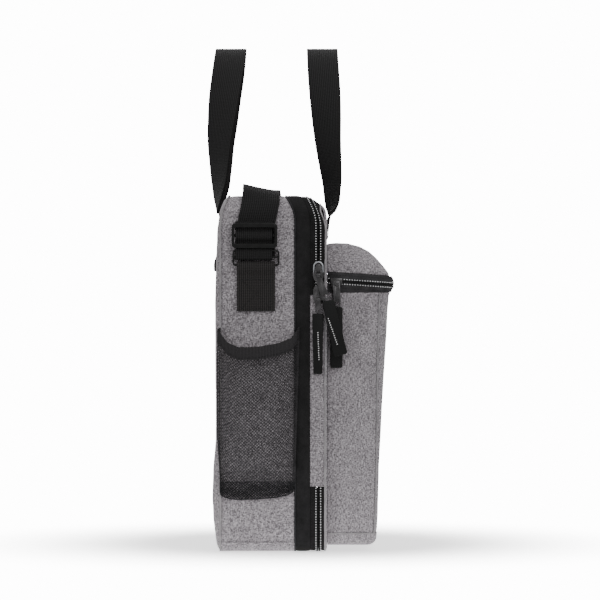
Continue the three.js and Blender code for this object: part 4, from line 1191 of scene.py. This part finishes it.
for side, sign in (("left", -1), ("right", 1)):
    net = netPiece(side + "MeshPocket", meshPocket["columns"], meshPocket["rows"],
                   lambda u, v: pouchPoint(u, floorAt(u) + (mouthAt(u) - 1 * mm - floorAt(u)) * v, sign),
                   (sign, 0, 0))
    finish(net, "shell", meshThread, "mesh", side + "_mesh_pocket")

    def hemPlace(u, v):
        z = mouthAt(u) - meshPocket["hemHeight"] * (1 - v)
        gather = wobble(Vector((0, u * 80 * mm, z * 0.2)), 5 * mm, 0.5 * mm, 51)
        return pouchPoint(u, z, sign, 1.4 * mm + gather + 0.6 * mm * math.sin(math.pi * v))
    hem = clothGrid(side + "MeshHem", 64, 8, hemPlace, (80, 13), (sign, 0, 0))
    finish(thicken(hem, 1.3 * mm), "shell", bindingTape, "webbing", side + "_mesh_hem")
    hemLine = [hemPlace(i / 60, 0.16) + Vector((sign * 0.15 * mm, 0, 0)) for i in range(57)]
    finish(stitchRow(side + "HemStitching", hemLine, [Vector((sign, 0, 0))] * 57, 2.9 * mm, 2.1 * mm, 0.22 * mm),
           "shell", blackThread, "webbing")

    def foldPlace(u, v):
        low = floorAt(u) - 0.4 * mm
        return pouchPoint(u, low + (meshPocket["foldTop"] - low) * v, sign, 1.2 * mm)
    finish(netPiece(side + "MeshFold", meshPocket["columns"] + 3, 7, foldPlace, (sign, 0, 0)), "shell", blackThread,
           "mesh")
print("mesh pockets done")


# sliders, pull plates and soft pulls
pulls = {
    "upper": ("upper_slider", "upper_pull", "upper_pull_plate", "upper_puller"),
    "lower": ("lower_slider", "lower_pull", "lower_pull_plate", "lower_puller"),
    "pocket": ("pocket_slider", "pocket_pull", "pocket_pull_plate", "pocket_puller"),
}
lowerSliderLift = 0.5 * mm   # keeps it off the stitch rows when it slides
dashes = {"pitch": 2.2 * mm, "length": 1.25 * mm, "radius": 0.6 * mm}
for name, (slider, pull, plate, puller) in pulls.items():
    slide = refined(name + "Slider", [slider], 0.35 * mm, 2)
    slide.data.transform(Matrix.Translation((-lowerSliderLift if name == "lower" else 0, 0, 0)))
    finish(slide, slider, blackZinc, "metal" if name != "pocket" else "dark_metal", slider)
    finish(refined(name + "PullPlate", [plate], 0.25 * mm, 2), pull, blackZinc, "dark_metal", plate)
    finish(refined(name + "Puller", [puller], 0.7 * mm, 3), pull, softPvc, "puller", puller)
    low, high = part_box(puller)
    front = low.x - 0.05 * mm
    if name == "upper":
        a, b = Vector((front, -28.6 * mm, 234 * mm)), Vector((front, -38.2 * mm, 206.5 * mm))
    elif name == "lower":
        a, b = Vector((front, low.y + 5.6 * mm, 220 * mm)), Vector((front, low.y + 4.4 * mm, 191 * mm))
    else:
        a, b = Vector((front, low.y + 5.6 * mm, 228.6 * mm)), Vector((front, low.y + 5.6 * mm, 224.2 * mm))
    stripe = stitchRow(name + "PullStripe", [a, (a + b) / 2, b], [Vector((-1, 0, 0))] * 3, dashes["pitch"],
                       dashes["length"], dashes["radius"])
    finish(stripe, pull, whiteThread, "puller")
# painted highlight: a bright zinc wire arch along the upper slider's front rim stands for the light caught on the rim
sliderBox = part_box("upper_slider")
rimHighlight = {"halfWidth": 4.5 * mm, "foot": sliderBox[1].z - 9.5 * mm, "shoulder": sliderBox[1].z - 4 * mm,
          "wire": 0.95 * mm, "x": sliderBox[0].x + 3.6 * mm}
arch = [Vector((rimHighlight["x"] + 1.5 * mm, bag["zipLine"] - rimHighlight["halfWidth"], rimHighlight["foot"]))]
for i in range(13):
    angle = math.pi - i / 12 * math.pi
    arch.append(Vector((rimHighlight["x"], bag["zipLine"] + rimHighlight["halfWidth"] * math.cos(angle),
                        rimHighlight["shoulder"] + rimHighlight["halfWidth"] * math.sin(angle))))
arch.append(Vector((rimHighlight["x"] + 1.5 * mm, bag["zipLine"] + rimHighlight["halfWidth"], rimHighlight["foot"])))
finish(tube("upperSliderRimHighlight", arch, rimHighlight["wire"], sides=3), "upper_slider", rimHighlightZinc, "metal")
print("sliders and pulls done")


# inside: quilted lining, foam pads, stiff base board, and the cloth edge that closes the wall round the opening
inside = {"liningOut": -8.4 * mm, "foamBevel": 0.8 * mm, "edgeDepth": 7.2 * mm}
liningFront = bag["bandFront"] + 0.8 * mm
liningRing = gussetPiece("mainLining", 0, ringLength, lambda d: followLine(liningFront, d),
                         lambda d: seamAt(d) - 1.6 * mm, 20,
                         dip=0.0, ripple=1.1 * mm, raised=inside["liningOut"], thickness=0.6 * mm)
editAll(liningRing, (bpy.ops.mesh.remove_doubles, {"threshold": 1e-5}))
liningBack = [(z, y - 9.2 * mm) for z, y in backProfile]


def liningPlace(u, v):
    z = 8.6 * mm + (bagTop - 17.2 * mm) * v
    w = faceHalfWidth(z - 8.6 * mm, bagTop - 17.2 * mm, 14 * mm, 2 * mm, halfWidth - 8.8 * mm)
    point = Vector((w * (2 * u - 1), curveThrough(liningBack, z), z))
    edge = min(w - abs(point.x), z - 8.6 * mm, bagTop - 8.6 * mm - z)
    point.y += wobble(point, 50 * mm, 1.0 * mm, 61) * smoothStep(edge, 0, 20 * mm) - 0.4 * mm
    return point


liningFace = thicken(clothGrid("liningBack", 40, 50, liningPlace, (262, 338), (0, -1, 0)), 0.6 * mm)
finish(joinPieces("mainLining", [liningRing, liningFace]), "shell", liningCloth, "lining", "main_lining")


def edgePlace(u, v):
    distance = ringLength * u
    return ringPoint(distance, followLine(bag["bandFront"] + 0.75 * mm, distance) + 0.3 * mm * math.sin(math.pi * v),
                     -1.7 * mm - inside["edgeDepth"] * v)


edge = clothGrid("openingEdge", 240, 4, edgePlace, (1200, 8), (0, -1, 0))
editAll(edge, (bpy.ops.mesh.remove_doubles, {"threshold": 1e-5}))
finish(thicken(edge, 0.6 * mm), "shell", liningCloth, "lining")

for name, node in (("backFoam", "back_foam"), ("leftFoam", "left_foam"), ("rightFoam", "right_foam"),
                   ("topFoam", "top_foam"), ("bottomFoam", "bottom_foam")):
    pad = refined(name, [node], inside["foamBevel"])
    finish(pad, "shell", closedCellFoam, "foam", node)
doorPad = refined("doorFoam", ["door_foam"], inside["foamBevel"])
foamMiddle = sum(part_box("door_foam"), Vector()) / 2
doorPad.data.transform(Matrix.Translation(foamMiddle + Vector((0, 0.6 * mm, -1 * mm))) @ Matrix.Diagonal((0.975, 0.9,
        0.965, 1)) @ Matrix.Translation(-foamMiddle))
finish(doorPad, "door", closedCellFoam, "foam", "door_foam")
finish(refined("baseBoard", ["base_board"], 0.6 * mm), "shell", boardPlastic, "board", "base_board")


def doorLiningPlace(u, v):
    top = doorPanel[1].z - 1.2 * mm
    z = 2.4 * mm + (top - 2.4 * mm) * v
    w = faceHalfWidth(z, top, bag["topRadius"] - 4 * mm, bag["bottomRadius"] - 2 * mm, halfWidth - 2.3 * mm)
    point = Vector((w * (2 * u - 1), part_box("door_lining")[1].y - 0.2 * mm, z))
    edge = min(w - abs(point.x), z - 2.4 * mm, top - z)
    point.y -= 0.4 * mm * smoothStep(edge, 0, 6 * mm) + wobble(point, 45 * mm, 0.5 * mm, 71) * smoothStep(edge, 0,
            20 * mm)
    return point


doorLining = clothGrid("doorLining", 60, 70, doorLiningPlace, (275, 350), (0, 1, 0))
finish(thicken(doorLining, 0.6 * mm), "door", liningCloth, "lining", "door_lining")
pocketLining = pocketWall("pocketLining", 110, 50, lambda z: (-pocketLength(z), pocketLength(z)), lambda u,
                          v: (bottomSeam - 5 * mm, tapeLow - 1 * mm)[v],
                          (0, -1, 0), 380, dip=0.0, ripple=0.8 * mm, raised=-3.6 * mm, thickness=0.6 * mm)
deselectAll()
bpy.ops.mesh.primitive_grid_add(x_subdivisions=40, y_subdivisions=10, size=1)
pocketFloor = bpy.context.object
for vertex in pocketFloor.data.vertices:
    x, y = vertex.co.x * 2 * (pocket["halfWidth"] - 7 * mm), pocket["back"] - 0.5 * mm - (vertex.co.y + 0.5) * 44 * mm
    vertex.co = Vector((x, y, pocket["low"] + 3.4 * mm + wobble(Vector((x, y, 0)), 30 * mm, 0.6 * mm, 81)))
thicken(pocketFloor, 0.6 * mm)
finish(joinPieces("pocketLining", [pocketLining, pocketFloor]), "door", liningCloth, "lining", "pocket_lining")
print("inside done")


# pale floor that fades into a white studio, even soft light, and the camera
studio = {
    "floorGlow": 1.25,
    "floorFade": (0.13, 0.42),
    "seenWhite": 14.0,
    "skyLight": 0.66,
    "lamps": [("keyLamp", (-3.2, -1.6, 2.6), 3.0, 62), ("fillLamp", (-2.6, 2.8, 1.8), 3.0, 32),
              ("topLamp", (0.2, 0.0, 3.4), 3.0, 22),
              ("rearLamp", (3.0, 1.2, 2.2), 3.0, 34)],
    "eye": (-3.64, -0.0007, 0.2516),
    "lens": 210,
}
deselectAll()
bpy.ops.mesh.primitive_plane_add(size=1)
floor = bpy.context.object
floor.name = "paleFloor"
floor.data.transform(Matrix.Translation((0, 0, -0.0012)) @ Matrix.Diagonal((4, 4, 1, 1)))
# matt white paint, lit a little from below as a studio table is, and gone at its edge
paleFloor, floorTree, floorShader = newMaterial("paleStudioFloor")
floorShader.inputs["Base Color"].default_value = linear("#fbfbfb")
floorShader.inputs["Roughness"].default_value = 0.9
floorShader.inputs["Emission Color"].default_value = (1, 1, 1, 1)
floorShader.inputs["Emission Strength"].default_value = studio["floorGlow"]
spot = addNode(floorTree, "ShaderNodeTexCoord").outputs["Object"]
away = addNode(floorTree, "ShaderNodeVectorMath", {"operation": "LENGTH"}, links={0: spot}).outputs["Value"]
fade = addNode(floorTree, "ShaderNodeMapRange", {"interpolation_type": "SMOOTHSTEP"},
               {"From Min": studio["floorFade"][0], "From Max": studio["floorFade"][1], "To Min": 1.0, "To Max": 0.0},
               {"Value": away}).outputs[0]
floorTree.links.new(fade, floorShader.inputs["Alpha"])
floor.data.materials.append(paleFloor)

# the studio's walls are bright to look at and give the object an even, weaker light
world = bpy.data.worlds.new("studioWhite")
bpy.context.scene.world = world
world.use_nodes = True
worldTree = world.node_tree
seen = addNode(worldTree, "ShaderNodeLightPath").outputs["Is Camera Ray"]
level = addNode(worldTree, "ShaderNodeMapRange", values={"To Min": studio["skyLight"], "To Max": studio["seenWhite"]},
                links={"Value": seen}).outputs[0]
worldTree.nodes["Background"].inputs["Color"].default_value = (1, 1, 1, 1)
worldTree.links.new(level, worldTree.nodes["Background"].inputs["Strength"])
for name, spot, size, power in studio["lamps"]:
    lamp = bpy.data.lights.new(name, "AREA")
    lamp.size, lamp.energy = size, power
    lampObject = bpy.data.objects.new(name, lamp)
    bpy.context.scene.collection.objects.link(lampObject)
    lampObject.location = spot
    lampObject.rotation_euler = (Vector((0, 0, 0.2)) - Vector(spot)).to_track_quat("-Z", "Y").to_euler()
camera = bpy.data.objects.new("camera", bpy.data.cameras.new("camera"))
bpy.context.scene.collection.objects.link(camera)
camera.data.lens = studio["lens"]
camera.data.sensor_width = 36
camera.data.clip_end = 100
camera.location = studio["eye"]
camera.rotation_euler = (math.pi / 2, 0, -math.pi / 2)
bpy.context.scene.camera = camera
